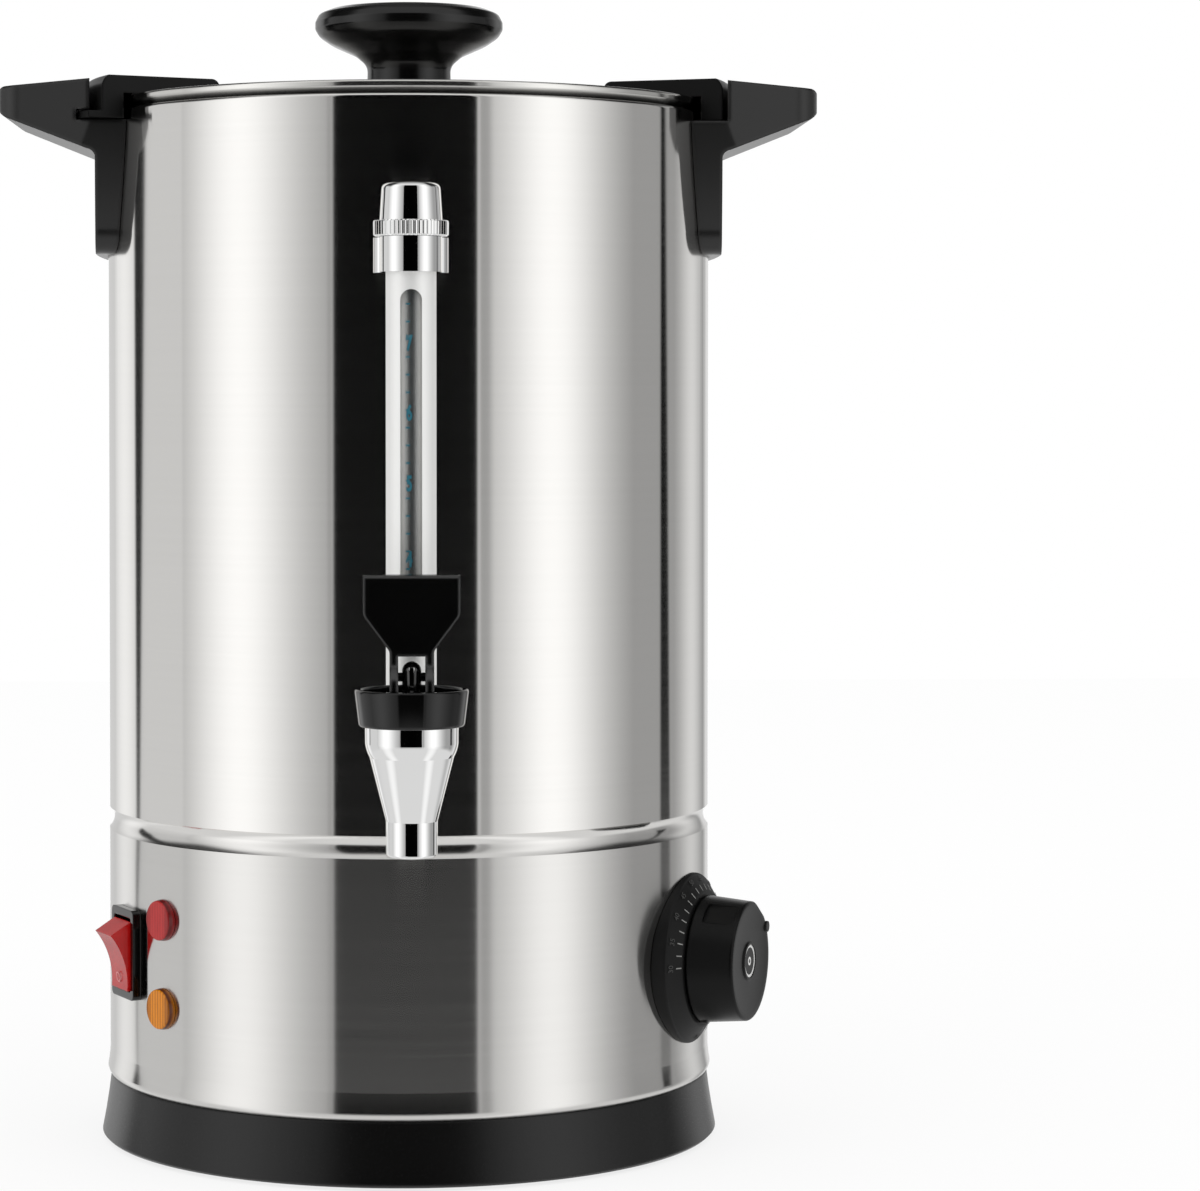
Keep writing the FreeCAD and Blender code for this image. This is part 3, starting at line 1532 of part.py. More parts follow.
def lid_lock(label, angle):
    body = new_body(label)
    under = RIM + s.lid_edge_top + s.gap
    top = RIM + s.ear_rise
    reach = R + s.ear_reach
    inner = R - s.ear_inner
    foot = RIM - s.ear_drop
    turn(body, label + "_ear", [
        (inner, dome_height(inner) + s.gap),
        (s.lid_shoulder, under),
        (R + s.ear_clear, under),
        (R + s.ear_clear, foot),
        (reach, foot),
        (reach, RIM + 6.2),
        Via(reach - 0.8, RIM + 9.5),
        (reach - 2.6, top),
        (inner + 3, top),
        Via(inner + 0.9, top - 0.9),
        (inner, top - 3),
    ], sweep=2 * s.ear_half_angle)
    lug = sector(reach - 1, R + s.lug_reach, s.lug_start, s.ear_half_angle)
    extrude(body, label + "_lug", "XY_Plane", [lug], foot, foot + s.lug_height)
    for number, (x, y) in enumerate(ear_screw_spots()[:2]):
        place = shift(x, y, RIM)
        rod(body, label + "_thread_%d" % number, s.small_screw + s.fit, 8.6, place, True)
    body.Placement = LID.multiply(Placement(Vector(0, 0, 0), Rotation(Vector(0, 0, 1), angle)))


def lid_lock_screws():
    body = new_body("lid_lock_screws")
    seat = dome_height(R - 21) - s.wall - 0.3
    for number, (x, y) in enumerate(ear_screw_spots()):
        place = shift(x, y, seat, DOWNWARD)
        add_screw(body, "ear_screw_%d" % number, place, s.small_screw, 2.8, 1.4, 3.4)
    body.Placement = LID


# A handle is a hooked ledge on a wide saddle; a channel behind the ledge takes the lid's ear
def handle(label, angle):
    body = new_body(label)
    inner = R - 13
    wing = R + s.leg_wing
    reach = R + s.grip_reach
    root = s.grip_root_half
    tip = s.grip_tip_half
    extrude(body, label + "_grip", "XZ_Plane", [[
        (inner, RIM - 18.5),
        (wing, RIM - 18.5),
        Via(wing + 0.8, RIM - 16.3),
        (wing + 3, RIM - 15.1),
        (reach - 5.5, RIM - 3.8),
        Via(reach - 1.6, RIM - 1.3),
        (reach, RIM + 1.6),
        (reach, RIM + 4.4),
        Via(reach - 1.3, RIM + 7.1),
        (reach - 4.2, RIM + 8.2),
        (inner, RIM + s.grip_face_rise),
    ]], -root - 5, root + 5)
    extrude(body, label + "_saddle", "XY_Plane", [[
        (inner, -root),
        (wing, -root),
        Via(R + s.leg_crown, 0),
        (wing, root),
        (inner, root),
    ]], RIM - s.leg_drop, RIM - s.channel_drop)
    side = R + 3.4
    beyond = root + 20
    extrude(body, label + "_plan", "XY_Plane", [[
        (side, root),
        (reach - 9, tip),
        Via(reach - 3, tip - 3.5),
        (reach - 0.8, tip - 10.5),
        Via(reach, 0),
        (reach - 0.8, -tip + 10.5),
        Via(reach - 3, -tip + 3.5),
        (reach - 9, -tip),
        (side, -root),
        (inner - 5, -root),
        (inner - 5, -beyond),
        (reach + 20, -beyond),
        (reach + 20, beyond),
        (inner - 5, beyond),
        (inner - 5, root),
    ]], RIM - 70, RIM + 30, True)
    low = s.leg_low_half
    corner = s.leg_corner
    foot = RIM - s.leg_drop
    for sign in (-1, 1):
        extrude(body, label + "_flank_%d" % (sign + 1), "YZ_Plane", [[
            (sign * root, RIM - 5.8),
            Via(sign * (root - 3), RIM - 26),
            (sign * (low - 1.8), foot + corner - 0.5),
            Via(sign * (low - 4.2), foot + 2.4),
            (sign * (low - 1.2 - corner), foot),
            (sign * (low - 1.2 - corner), foot - 10),
            (sign * beyond, foot - 10),
            (sign * beyond, RIM - 5.8),
        ]], inner - 5, reach + 5, True)
    turn(body, label + "_channel", [
        (0, foot - 5),
        (R + 0.15, foot - 5),
        (R + 0.15, RIM - s.channel_drop),
        (R + s.channel_reach, RIM - s.channel_drop),
        (R + s.channel_reach, RIM + 30),
        (0, RIM + 30),
    ], cut=True)
    slot = sector(R + s.channel_reach - 1, R + s.slot_reach, s.slot_start, s.slot_end)
    slot_foot = RIM - s.channel_drop - s.fit
    extrude(body, label + "_slot", "XY_Plane", [slot], slot_foot, slot_foot + s.slot_height, True)
    for number, (spot_angle, height) in enumerate(handle_screw_spots()[:4]):
        place = facing(spot_angle, height).multiply(shift(z=R - 5))
        rod(body, label + "_insert_bore_%d" % number, s.insert_radius + 0.05,
            5.6 + s.insert_length, place, True)
    body.Placement = Placement(Vector(0, 0, 0), Rotation(Vector(0, 0, 1), angle))


def handle_inserts():
    body = new_body("handle_inserts")
    for number, (angle, height) in enumerate(handle_screw_spots()):
        place = facing(angle, height).multiply(shift(z=R + 0.3))
        rod(body, "insert_%d" % number, s.insert_radius, s.insert_length, place)
        rod(body, "insert_thread_%d" % number, s.screw + s.fit, 20, place.multiply(shift(z=-5)), True)


def handle_screws():
    body = new_body("handle_screws")
    for number, (angle, height) in enumerate(handle_screw_spots()):
        place = facing(angle, height).multiply(shift(z=INNER - 0.15, turned=DOWNWARD))
        add_screw(body, "handle_screw_%d" % number, place, s.screw, s.screw_head, s.screw_head_height, 5)


base_plinth()
foot_ring()
bottom_cover()
base_screws()
base_brackets()
bracket_screws()
body_shell()
tank_floor()
heating_plate()
heating_element()
cutout_thermostat()
cutout_clip()
cutout_screws()
heat_shield()
shield_studs()
shield_nuts()
thermostat_body()
thermostat_spindle()
thermostat_screws()
dial_bezel()
dial_knob()
switch_housing()
switch_rocker()
switch_terminals()
lamp_lens("lamp_lens_red", s.heat_lamp_height)
lamp_lens("lamp_lens_amber", s.warm_lamp_height)
lamp_bulbs()
lamp_clips()
power_inlet()
inlet_pins()
inlet_screws()
tap_body()
shank_washers()
shank_nut()
tap_bonnet()
tap_stem()
seat_cup()
tap_spring()
tap_lever()
lever_pin()
gauge_glass()
gauge_guard()
gauge_seals()
gauge_holder()
holder_screw()
gauge_ring()
gauge_cap()
lid()
lid_knob()
knob_screw()
lid_lock("lid_lock_right", 0)
lid_lock("lid_lock_left", 180)
lid_lock_screws()
handle("handle_right", 0)
handle("handle_left", 180)
handle_inserts()
handle_screws()

doc.recompute()
for item in doc.Objects:
    if "Invalid" in item.State or "Error" in item.State:
        raise RuntimeError("%s did not build: %s" % (item.Label, item.State))
for node in nodes:
    if node.Shape.isNull() or not node.Shape.isValid():
        raise RuntimeError("%s has no sound shape" % node.Label)

os.makedirs("parts", exist_ok=True)
for node in nodes:
    node.Shape.exportStep("parts/%s.step" % node.Label)
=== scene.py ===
import math

import bmesh
import bpy
from mathutils import Matrix, Vector


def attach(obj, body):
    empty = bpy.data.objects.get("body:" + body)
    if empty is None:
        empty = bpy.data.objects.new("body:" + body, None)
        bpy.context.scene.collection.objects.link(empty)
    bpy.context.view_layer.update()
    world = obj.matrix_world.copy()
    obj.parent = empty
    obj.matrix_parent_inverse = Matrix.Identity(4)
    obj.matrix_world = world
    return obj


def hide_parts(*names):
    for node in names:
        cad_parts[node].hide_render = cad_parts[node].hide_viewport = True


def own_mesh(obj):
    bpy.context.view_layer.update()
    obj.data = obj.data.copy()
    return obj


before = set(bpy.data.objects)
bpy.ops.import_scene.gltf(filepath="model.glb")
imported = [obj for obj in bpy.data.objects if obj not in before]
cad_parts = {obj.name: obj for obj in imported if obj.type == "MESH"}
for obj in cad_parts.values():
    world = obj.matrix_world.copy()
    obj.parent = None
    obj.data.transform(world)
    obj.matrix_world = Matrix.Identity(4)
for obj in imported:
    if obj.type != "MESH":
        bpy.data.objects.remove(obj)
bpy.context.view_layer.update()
scene = bpy.context.scene
scene.view_settings.view_transform = "Standard"


# Camera
# A long lens 1.4 m in front of the urn, a little above its middle. The urn stands left of the
# picture's middle, so the camera turns a little to the right and the shift does the rest.

TURN_RIGHT, TURN_DOWN = math.radians(2.124), math.radians(1.369)
camera = bpy.data.objects.new("camera", bpy.data.cameras.new("camera"))
scene.collection.objects.link(camera)
scene.camera = camera
camera.data.sensor_width = 36.0
camera.data.lens = 108.80
camera.data.shift_x, camera.data.shift_y = 0.06, -0.09
camera.location = (-0.00600, -1.37366, 0.27570)
looking = Vector((math.sin(TURN_RIGHT) * math.cos(TURN_DOWN),
                  math.cos(TURN_RIGHT) * math.cos(TURN_DOWN), -math.sin(TURN_DOWN)))
camera.rotation_mode = "QUATERNION"
camera.rotation_quaternion = looking.to_track_quat("-Z", "Y")


# Studio and floor
# The urn stands on the front part of a white table in a white room. Two tall soft boxes light
# it from the sides, and the dark room shows between them, as the black stripe on the metal.

class Value:
    """One socket of a node tree. Sums with it add the tree's Math nodes."""

    def __init__(self, tree, socket):
        self.tree, self.socket = tree, socket

    def math(self, operation, *values):
        node = self.tree.nodes.new("ShaderNodeMath")
        node.operation = operation
        for target, value in zip(node.inputs, values):
            if isinstance(value, Value):
                self.tree.links.new(value.socket, target)
            else:
                target.default_value = value
        return Value(self.tree, node.outputs[0])

    def __add__(self, other):
        return self.math("ADD", self, other)

    def __radd__(self, other):
        return self.math("ADD", other, self)

    def __sub__(self, other):
        return self.math("SUBTRACT", self, other)

    def __rsub__(self, other):
        return self.math("SUBTRACT", other, self)

    def __mul__(self, other):
        return self.math("MULTIPLY", self, other)

    def __rmul__(self, other):
        return self.math("MULTIPLY", other, self)

    def __truediv__(self, other):
        return self.math("DIVIDE", self, other)

    def __rtruediv__(self, other):
        return self.math("DIVIDE", other, self)

    def __pow__(self, other):
        return self.math("POWER", self, other)

    def __abs__(self):
        return self.math("ABSOLUTE", self)

    def at_least(self, other):
        return self.math("MAXIMUM", self, other)

    def at_most(self, other):
        return self.math("MINIMUM", self, other)

    def sine(self):
        return self.math("SINE", self)

    def cosine(self):
        return self.math("COSINE", self)


class Graph:
    """A node tree that is filled node by node."""

    def __init__(self, tree):
        self.tree = tree
        tree.nodes.clear()

    def node(self, kind, settings=None, sockets=None, out=0):
        made = self.tree.nodes.new(kind)
        for key, setting in (settings or {}).items():
            setattr(made, key, setting)
        for key, value in (sockets or {}).items():
            if isinstance(value, Value):
                self.tree.links.new(value.socket, made.inputs[key])
            else:
                made.inputs[key].default_value = value
        return Value(self.tree, made.outputs[out]) if len(made.outputs) else made

    def part(self, value, axis):
        return self.node("ShaderNodeSeparateXYZ", None, {"Vector": value}, axis)

    def step(self, value, low, high):
        """0 below low and 1 above high, with a soft change between them."""
        return self.node("ShaderNodeMapRange", {"interpolation_type": "SMOOTHSTEP"},
                         {"Value": value, "From Min": low, "From Max": high})

    def blend(self, factor, first, second):
        """A colour from first to second, as the factor goes from 0 to 1."""
        first, second = (colour if isinstance(colour, Value) else (*colour, 1)
                         for colour in (first, second))
        return self.node("ShaderNodeMix", {"data_type": "RGBA"},
                         {0: factor, 6: first, 7: second}, 2)

    def plain_view(self):
        """1 for what the camera sees at once or through glass, and 0 for light."""
        through = self.node("ShaderNodeLightPath", out="Is Transmission Ray")
        return self.node("ShaderNodeLightPath", out="Is Camera Ray").at_least(through)


# Directions are in degrees. Azimuth 0 is the room's front, where the camera stands, and grows
# to the right as the camera sees it. Height is above the level of the eye. A number in front of
# a light is its strength.
scene.world = bpy.data.worlds.new("studio")
scene.world.use_nodes = True
scene.world.cycles.sampling_method = "NONE"
studio = Graph(scene.world.node_tree)
sight = studio.node("ShaderNodeTexCoord", out="Generated")
across, ahead, upward = (studio.part(sight, axis) for axis in "XYZ")
azimuth = across.math("ARCTAN2", across, 0 - ahead) * math.degrees(1)
height = upward.math("ARCSINE", upward) * math.degrees(1)


def soft_box(middle, fall_off):
    """A tall soft box: full at its middle, and half as bright at its fall-off."""
    return 1 / (1 + (abs(azimuth - middle) / fall_off) ** 2)


def strip(middle, half_width, edge):
    """1 in an upright strip of the room and 0 beside it, with edges of a softness."""
    return 1 - studio.step(abs(azimuth - middle), half_width - edge, half_width + edge)


left_box, right_box = soft_box(-67, 29), soft_box(55, 26)
rear_left_box, rear_right_box = 0.84 * soft_box(-139, 22), 0.64 * soft_box(137, 16)
left_screen, right_screen = (0.58 * studio.step(0 - azimuth, 90, 96),
                             0.66 * studio.step(azimuth, 148, 162))
rear_screen, right_wall = studio.step(abs(azimuth), 164, 173), 0.31 * studio.step(azimuth, 70, 90)
lit = left_box
for light in (right_box, rear_left_box, rear_right_box, left_screen, right_screen, rear_screen,
              right_wall):
    lit = lit.at_least(light)

# A black flag hangs behind each side. It leans and grows wider or narrower with the height, and
# fades towards the table.
LEFT_FLAG, RIGHT_FLAG = -124.6, 112.7
lean = height.at_least(-12).at_most(6)
left_flag = 1 - studio.step(abs(azimuth - 0.22 * lean - LEFT_FLAG) - 0.3 * lean, 2.2, 4.8)
right_flag = 1 - studio.step(abs(azimuth + 0.17 * lean - RIGHT_FLAG) + 0.17 * lean, 1.5, 3.3)
lit = lit * (1 - (0.97 - 0.65 * studio.step(0 - height, 4, 12)) * left_flag)
lit = lit * (1 - (0.995 - 0.85 * studio.step(0 - height, 6, 10.5)) * right_flag)

# The dark room's opening has a shaded frame, with a thin lit edge on each side.
left_frame, right_frame = 0.16 * strip(-30.0, 0.9, 0.6), 0.32 * strip(28.2, 2.2, 1.6)
left_edge, right_edge = 0.07 * strip(-28.9, 0.4, 0.3), 0.14 * strip(25.6, 0.5, 0.4)
dark_room = 0.997 * strip(-1.75, 26.8, 0.65)
lit = lit * (1 - left_frame) * (1 - right_frame) + left_edge + right_edge

# The walls behind the urn are dark above its top, and the ceiling reaches lower in front.
behind = studio.step(abs(azimuth), 80, 100)
dark_above = 0.92 * behind * studio.step(height, 16, 32)
walls = 1.10 * lit * (1 - dark_room) * (1 - dark_above)
overhead = studio.step(height + 16 * (1 - behind), 54, 66)
ceiling = overhead * (0.75 - 0.40 * behind) * (1 - 0.2 * studio.step(height, 68, 78))
underneath = studio.step(0 - height, 17, 25)
mirrored_table = (lit * 0.95).at_least(0.70)
mirrored = walls * (1 - overhead) + ceiling
mirrored = mirrored * (1 - underneath) + mirrored_table * underneath

seen = studio.plain_view()
glossy = studio.node("ShaderNodeLightPath", out="Is Glossy Ray")
level = seen + (1 - seen) * (glossy * mirrored + (1 - glossy))
studio.node("ShaderNodeOutputWorld", None, {
    "Surface": studio.node("ShaderNodeBackground", None,
                           {"Color": (1, 1, 1, 1), "Strength": level})})

LAMP_AIM = Vector((0, 0, 0.2))
for name, place, width, watts in (("left_lamp", (-1.3, -1.3, 1.5), 1.2, 5.5),
                                  ("right_lamp", (1.4, -1.2, 1.1), 1.0, 4.0)):
    lamp = bpy.data.objects.new(name, bpy.data.lights.new(name, "AREA"))
    lamp.data.shape, lamp.data.size, lamp.data.energy = "SQUARE", width, watts
    lamp.location = place
    lamp.rotation_mode = "QUATERNION"
    lamp.rotation_quaternion = (LAMP_AIM - Vector(place)).to_track_quat("-Z", "Y")
    lamp.visible_glossy = lamp.visible_camera = False
    scene.collection.objects.link(lamp)

TABLE_SIDE, TABLE_FRONT, TABLE_BACK, TABLE_TOP = 1.8, -0.50, 2.2, -0.0001
table = bpy.data.meshes.new("floor")
table.from_pydata([(-TABLE_SIDE, TABLE_FRONT, TABLE_TOP), (TABLE_SIDE, TABLE_FRONT, TABLE_TOP),
                   (TABLE_SIDE, TABLE_BACK, TABLE_TOP), (-TABLE_SIDE, TABLE_BACK, TABLE_TOP)],
                  [], [(0, 1, 2, 3)])
floor = bpy.data.objects.new("floor", table)
scene.collection.objects.link(floor)
paper = bpy.data.materials.new("white_table")
paper.use_nodes = True
table.materials.append(paper)
paper = Graph(paper.node_tree)
paper.node("ShaderNodeOutputMaterial", None, {"Surface": paper.node(
    "ShaderNodeMixShader", None, {
        0: 0.80 * paper.plain_view(),
        1: paper.node("ShaderNodeBsdfDiffuse", None, {"Color": (0.92, 0.92, 0.92, 1)}),
        2: paper.node("ShaderNodeEmission", None, {"Strength": 1.0})})})
floor.visible_glossy = False        # metal mirrors the table of the studio above


# Foot and plinth
# The urn stands on a ring of black rubber under a plinth, which is one moulding of black satin
# nylon. The plinth's lip takes the shell's hem, and brackets inside hold the two together.

class Finish(Graph):
    """A material with one Principled shader, whose constants are set on its own sockets."""

    def __init__(self, name, constants):
        self.material = bpy.data.materials.new(name)
        self.material.use_nodes = True
        super().__init__(self.material.node_tree)
        self.shader = self.tree.nodes.new("ShaderNodeBsdfPrincipled")
        for key, value in constants.items():
            self.shader.inputs[key].default_value = value
        self.node("ShaderNodeOutputMaterial", None,
                  {"Surface": Value(self.tree, self.shader.outputs[0])})
        self.place = self.node("ShaderNodeTexCoord", out="Object")

    def vary(self, key, value):
        self.tree.links.new(value.socket, self.shader.inputs[key])

    def noise(self, scale, detail=2.0):
        stretched = self.node("ShaderNodeVectorMath", {"operation": "MULTIPLY"},
                              {0: self.place, 1: scale})
        return self.node("ShaderNodeTexNoise", None,
                         {"Vector": stretched, "Scale": 1.0, "Detail": detail})

    def relief(self, bumps, strength, depth, rounding=0.0):
        """Bumps of a depth, and with rounding, edges that catch the light as if rounded."""
        sockets = {"Strength": strength, "Distance": depth, "Height": bumps}
        if rounding:
            sockets["Normal"] = self.node("ShaderNodeBevel", {"samples": 6}, {"Radius": rounding})
        self.vary("Normal", self.node("ShaderNodeBump", None, sockets))


def surface(name, dark, light, gloss, patch, grain, relief, rounding=0.0, constants=()):
    """A finish whose colour drifts from dark to light in patches, and whose gloss and relief
    follow a grain. Patch and grain count per metre, and relief is its strength and depth."""
    made = Finish(name, dict(constants))
    drift, fine = made.noise((patch,) * 3), made.noise((grain,) * 3, 3.0)
    made.vary("Base Color", made.blend(drift, dark, light))
    made.vary("Roughness", gloss[0] + (gloss[1] - gloss[0]) * fine)
    made.relief(fine, *relief, rounding)
    return made


def dress(finish, *nodes):
    """Gives CAD nodes that stay as they are a better material."""
    for node in nodes:
        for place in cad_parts[node].material_slots:
            place.material = finish.material


satin_black = surface("satin_black_nylon", (0.0025, 0.0025, 0.0025), (0.0042, 0.0041, 0.0040),
                      gloss=(0.22, 0.30), patch=30, grain=2600, relief=(0.08, 0.00005),
                      rounding=0.0012, constants={"Specular IOR Level": 0.42})
dress(satin_black, "base_plinth")
rubber = surface("black_rubber", (0.012, 0.012, 0.012), (0.022, 0.022, 0.021),
                 gloss=(0.62, 0.78), patch=60, grain=1500, relief=(0.25, 0.0001))
dress(rubber, "foot_ring")


# Bottom cover
# A pressed steel plate, bright zinc plated, closes the plinth from below. Its screws go into the
# moulding, and brackets of the same plate are screwed between the plinth and the shell.

zinc = surface("zinc_plate", (0.55, 0.56, 0.57), (0.68, 0.68, 0.67), gloss=(0.26, 0.42), patch=90,
               grain=420, relief=(0.12, 0.0001), constants={"Metallic": 1.0})
dress(zinc, "bottom_cover", "base_screws", "base_brackets", "bracket_screws")


# Body shell
# One tube of stainless steel, rolled and welded, with a rolled rim and an inward bead above the
# works. It is brushed round its axis, so that light draws upright bands on it.

def brushed(name, dark, light, gloss, coarse_gloss, coarse_below, darkened, streak, relief):
    """Steel brushed round its upright axis, and more coarsely below a height, where its colour is
    also darkened towards black by a share. Its hairs and its broader streaks count per metre."""
    made = Finish(name, {"Metallic": 1.0, "Anisotropic": 1.0, "Anisotropic Rotation": 0.25})
    hairs, bands = made.noise((9, 9, 3400), 3.0), made.noise((4, 4, streak), 2.0)
    lower_part = 1 - made.step(made.part(made.place, "Z"), coarse_below - 0.001, coarse_below + 0.001)
    bright = made.blend(bands, dark, light)
    # Below the height the colour is darkened by that share. On the lid's hem it is painted shade
    # of the gap under the hem; on the shell it only makes the part below the bead darker.
    made.vary("Base Color", made.blend(lower_part * darkened, bright, (0.02, 0.02, 0.02)))
    made.vary("Roughness", gloss + (coarse_gloss - gloss) * lower_part
              + 0.04 * (hairs - 0.5) + 0.02 * (bands - 0.5))
    made.relief(hairs * 0.7 + bands * 0.3, *relief)
    return made


BEAD = 0.120
# Below the bead the shell's colour is darkened a little.
shell_steel = brushed("brushed_steel", (0.875, 0.863, 0.840), (0.900, 0.888, 0.865), gloss=0.105,
                      coarse_gloss=0.150, coarse_below=BEAD, darkened=0.12, streak=620,
                      relief=(0.03, 0.00001))
dress(shell_steel, "body_shell")


# Tank floor and heater
# The tank's floor is a deep-drawn steel dish welded into the shell. A cast aluminium plate under
# it holds the heating rod, and a zinc plated shield keeps the heat from the plinth.

tank_steel = surface("tank_steel", (0.50, 0.49, 0.47), (0.66, 0.65, 0.62), gloss=(0.22, 0.36),
                     patch=40, grain=700, relief=(0.10, 0.00006), constants={"Metallic": 1.0})
dress(tank_steel, "tank_floor", "heating_element")
cast_metal = surface("cast_aluminium", (0.50, 0.50, 0.51), (0.66, 0.66, 0.66), gloss=(0.42, 0.60),
                     patch=70, grain=900, relief=(0.35, 0.00025), constants={"Metallic": 1.0})
dress(cast_metal, "heating_plate")
dress(zinc, "cutout_clip", "cutout_screws", "heat_shield", "shield_studs", "shield_nuts")
cream = surface("cream_thermoset", (0.58, 0.52, 0.40), (0.70, 0.64, 0.52), gloss=(0.40, 0.55),
                patch=120, grain=1600, relief=(0.15, 0.0001))
dress(cream, "cutout_thermostat", "thermostat_body")


# Dial
# The thermostat's knob turns on its spindle in front of a shallow cone, which is screwed to the
# shell. Both are black nylon; the scale is printed on the cone in pale grey.

matte_black = surface("matte_black_nylon", (0.0030, 0.0030, 0.0030), (0.0058, 0.0057, 0.0056),
                      gloss=(0.42, 0.56), patch=90, grain=2200, relief=(0.16, 0.00006),
                      rounding=0.0006, constants={"Specular IOR Level": 0.24})
dress(matte_black, "dial_bezel")
grip_black = surface("grip_black_nylon", (0.0016, 0.0016, 0.0016), (0.0030, 0.0030, 0.0029),
                     gloss=(0.28, 0.38), patch=90, grain=2200, relief=(0.10, 0.00005),
                     rounding=0.0010, constants={"Specular IOR Level": 0.20})
dress(grip_black, "dial_knob")
dress(zinc, "thermostat_spindle", "thermostat_screws")


def new_piece(name, mesh, finish, body, nodes=()):
    """A finished piece: its mesh, finish and body, and the CAD nodes that it stands for."""
    mesh.materials.clear()
    mesh.materials.append(finish.material)
    piece = bpy.data.objects.new(name, mesh)
    scene.collection.objects.link(piece)
    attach(piece, body)
    if nodes:
        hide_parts(*nodes)
    return piece


def facing(angle, height, depth=0.0):
    """A place on the wall: X to the right as seen from outside, Y up, Z outwards."""
    turned = math.radians(angle)
    right = Vector((math.cos(turned), math.sin(turned), 0))
    out = Vector((math.sin(turned), -math.cos(turned), 0))
    place = Matrix((right, (0, 0, 1), out)).transposed().to_4x4()
    place.translation = out * depth + Vector((0, 0, height))
    return place


def grown(name, tree, values, start=None):
    """The mesh that a node tree makes from a start mesh, with the tree's named inputs set."""
    blank = bpy.data.objects.new(name, start or bpy.data.meshes.new(name))
    scene.collection.objects.link(blank)
    nodes = blank.modifiers.new(name, "NODES")
    nodes.node_group = tree
    for item in tree.interface.items_tree:
        if item.in_out == "INPUT" and item.name in values:
            nodes[item.identifier] = values[item.name]
    made = blank.evaluated_get(bpy.context.evaluated_depsgraph_get())
    mesh = bpy.data.meshes.new_from_object(made)
    blank.modifiers.remove(nodes)
    bpy.data.objects.remove(blank)
    return mesh


def node_group(name, inputs):
    """An empty geometry tree with named inputs, and a function that reads them."""
    tree = bpy.data.node_groups.new(name, "GeometryNodeTree")
    graph = Graph(tree)
    for label, kind in inputs.items():
        tree.interface.new_socket(name=label, in_out="INPUT", socket_type="NodeSocket" + kind)
    tree.interface.new_socket(name="Made", in_out="OUTPUT", socket_type="NodeSocketGeometry")
    source = tree.nodes.new("NodeGroupInput")
    return graph, lambda label: Value(tree, source.outputs[label])


def finished(graph, made, finish):
    """Ends a geometry tree: its instances made real, and its material set."""
    made = graph.node("GeometryNodeRealizeInstances", None, {"Geometry": made})
    made = graph.node("GeometryNodeSetMaterial", None, {"Geometry": made, "Material": finish})
    graph.node("NodeGroupOutput", None, {"Made": made})


# Marks: small bars at even steps round an axis, along it or both, each leaning by an angle.
marks, given = node_group("marks", {
    "Count": "Int", "Radius": "Float", "First angle": "Float", "Angle step": "Float",
    "First height": "Float", "Height step": "Float", "Lean": "Float", "Bar": "Vector",
    "Ink": "Material"})
which = marks.node("GeometryNodeInputIndex")
bearing = given("First angle") + which * given("Angle step")
spot = marks.node("ShaderNodeCombineXYZ", None, {
    "X": given("Radius") * bearing.cosine(), "Y": given("Radius") * bearing.sine(),
    "Z": given("First height") + which * given("Height step")})
points = marks.node("GeometryNodePoints", None, {"Count": given("Count"), "Position": spot})
bar = marks.node("GeometryNodeMeshCube", None, {"Size": given("Bar")})
turned_by = marks.node("ShaderNodeCombineXYZ", None, {"Y": given("Lean"), "Z": bearing})
bars = marks.node("GeometryNodeInstanceOnPoints", None, {
    "Points": points, "Instance": bar, "Rotation": turned_by})
finished(marks, bars, given("Ink"))

DIAL = facing(66, 0.0708)
CONE_LEAN = math.atan2(4.2, 6.7)
CONE_TOP, CONE_TOP_RADIUS = 0.1186, 0.0245
TICK_STEP, TICK_RADIUS, NUMBER_RADIUS = math.radians(270 / 28), 0.0262, 0.0292
INK_THICKNESS = 0.00004


def on_cone(radius):
    """Height of the bezel's cone above the urn's axis, a hair proud, at a radius of the dial."""
    return CONE_TOP - (radius - CONE_TOP_RADIUS) * math.tan(CONE_LEAN) + 0.00003


pale_ink = surface("pale_ink", (0.16, 0.16, 0.155), (0.30, 0.30, 0.29), gloss=(0.50, 0.65),
                   patch=900, grain=4000, relief=(0.10, 0.00002))
ticks = grown("dial_ticks", marks.tree, {
    "Count": 29, "Radius": TICK_RADIUS, "First angle": math.pi, "Angle step": -TICK_STEP,
    "First height": on_cone(TICK_RADIUS), "Height step": 0.0, "Lean": CONE_LEAN,
    "Bar": (0.0024, 0.00042, 0.00008), "Ink": pale_ink.material})
ticks.transform(DIAL)
new_piece("dial_ticks", ticks, pale_ink, "base")


def lettering(text, size, bolder=0.0):
    """Upright letters as a mesh, centred on the origin in the X-Y plane."""
    line = bpy.data.curves.new("lettering", "FONT")
    line.body, line.size, line.offset, line.extrude = text, size, bolder, INK_THICKNESS
    line.align_x, line.align_y = "CENTER", "CENTER"
    line.resolution_u = 4
    blank = bpy.data.objects.new("lettering", line)
    scene.collection.objects.link(blank)
    mesh = bpy.data.meshes.new_from_object(
        blank.evaluated_get(bpy.context.evaluated_depsgraph_get()))
    bpy.data.objects.remove(blank)
    return mesh


def joined(name, meshes):
    """Several meshes as one."""
    whole = bmesh.new()
    for mesh in meshes:
        whole.from_mesh(mesh)
    made = bpy.data.meshes.new(name)
    whole.to_mesh(made)
    whole.free()
    return made


numbers = []
for count in range(15):
    label = lettering(str(30 + 5 * count), 0.0029)
    label.transform(Matrix.Translation((0, NUMBER_RADIUS, on_cone(NUMBER_RADIUS)))
                    @ Matrix.Rotation(-CONE_LEAN, 4, "X"))
    label.transform(DIAL @ Matrix.Rotation(math.pi / 2 - 2 * TICK_STEP * count, 4, "Z"))
    numbers.append(label)
faint_ink = surface("faint_ink", (0.030, 0.030, 0.029), (0.060, 0.060, 0.058), gloss=(0.50, 0.65),
                    patch=900, grain=4000, relief=(0.10, 0.00002))
new_piece("dial_numbers", joined("dial_numbers", numbers), faint_ink, "base")


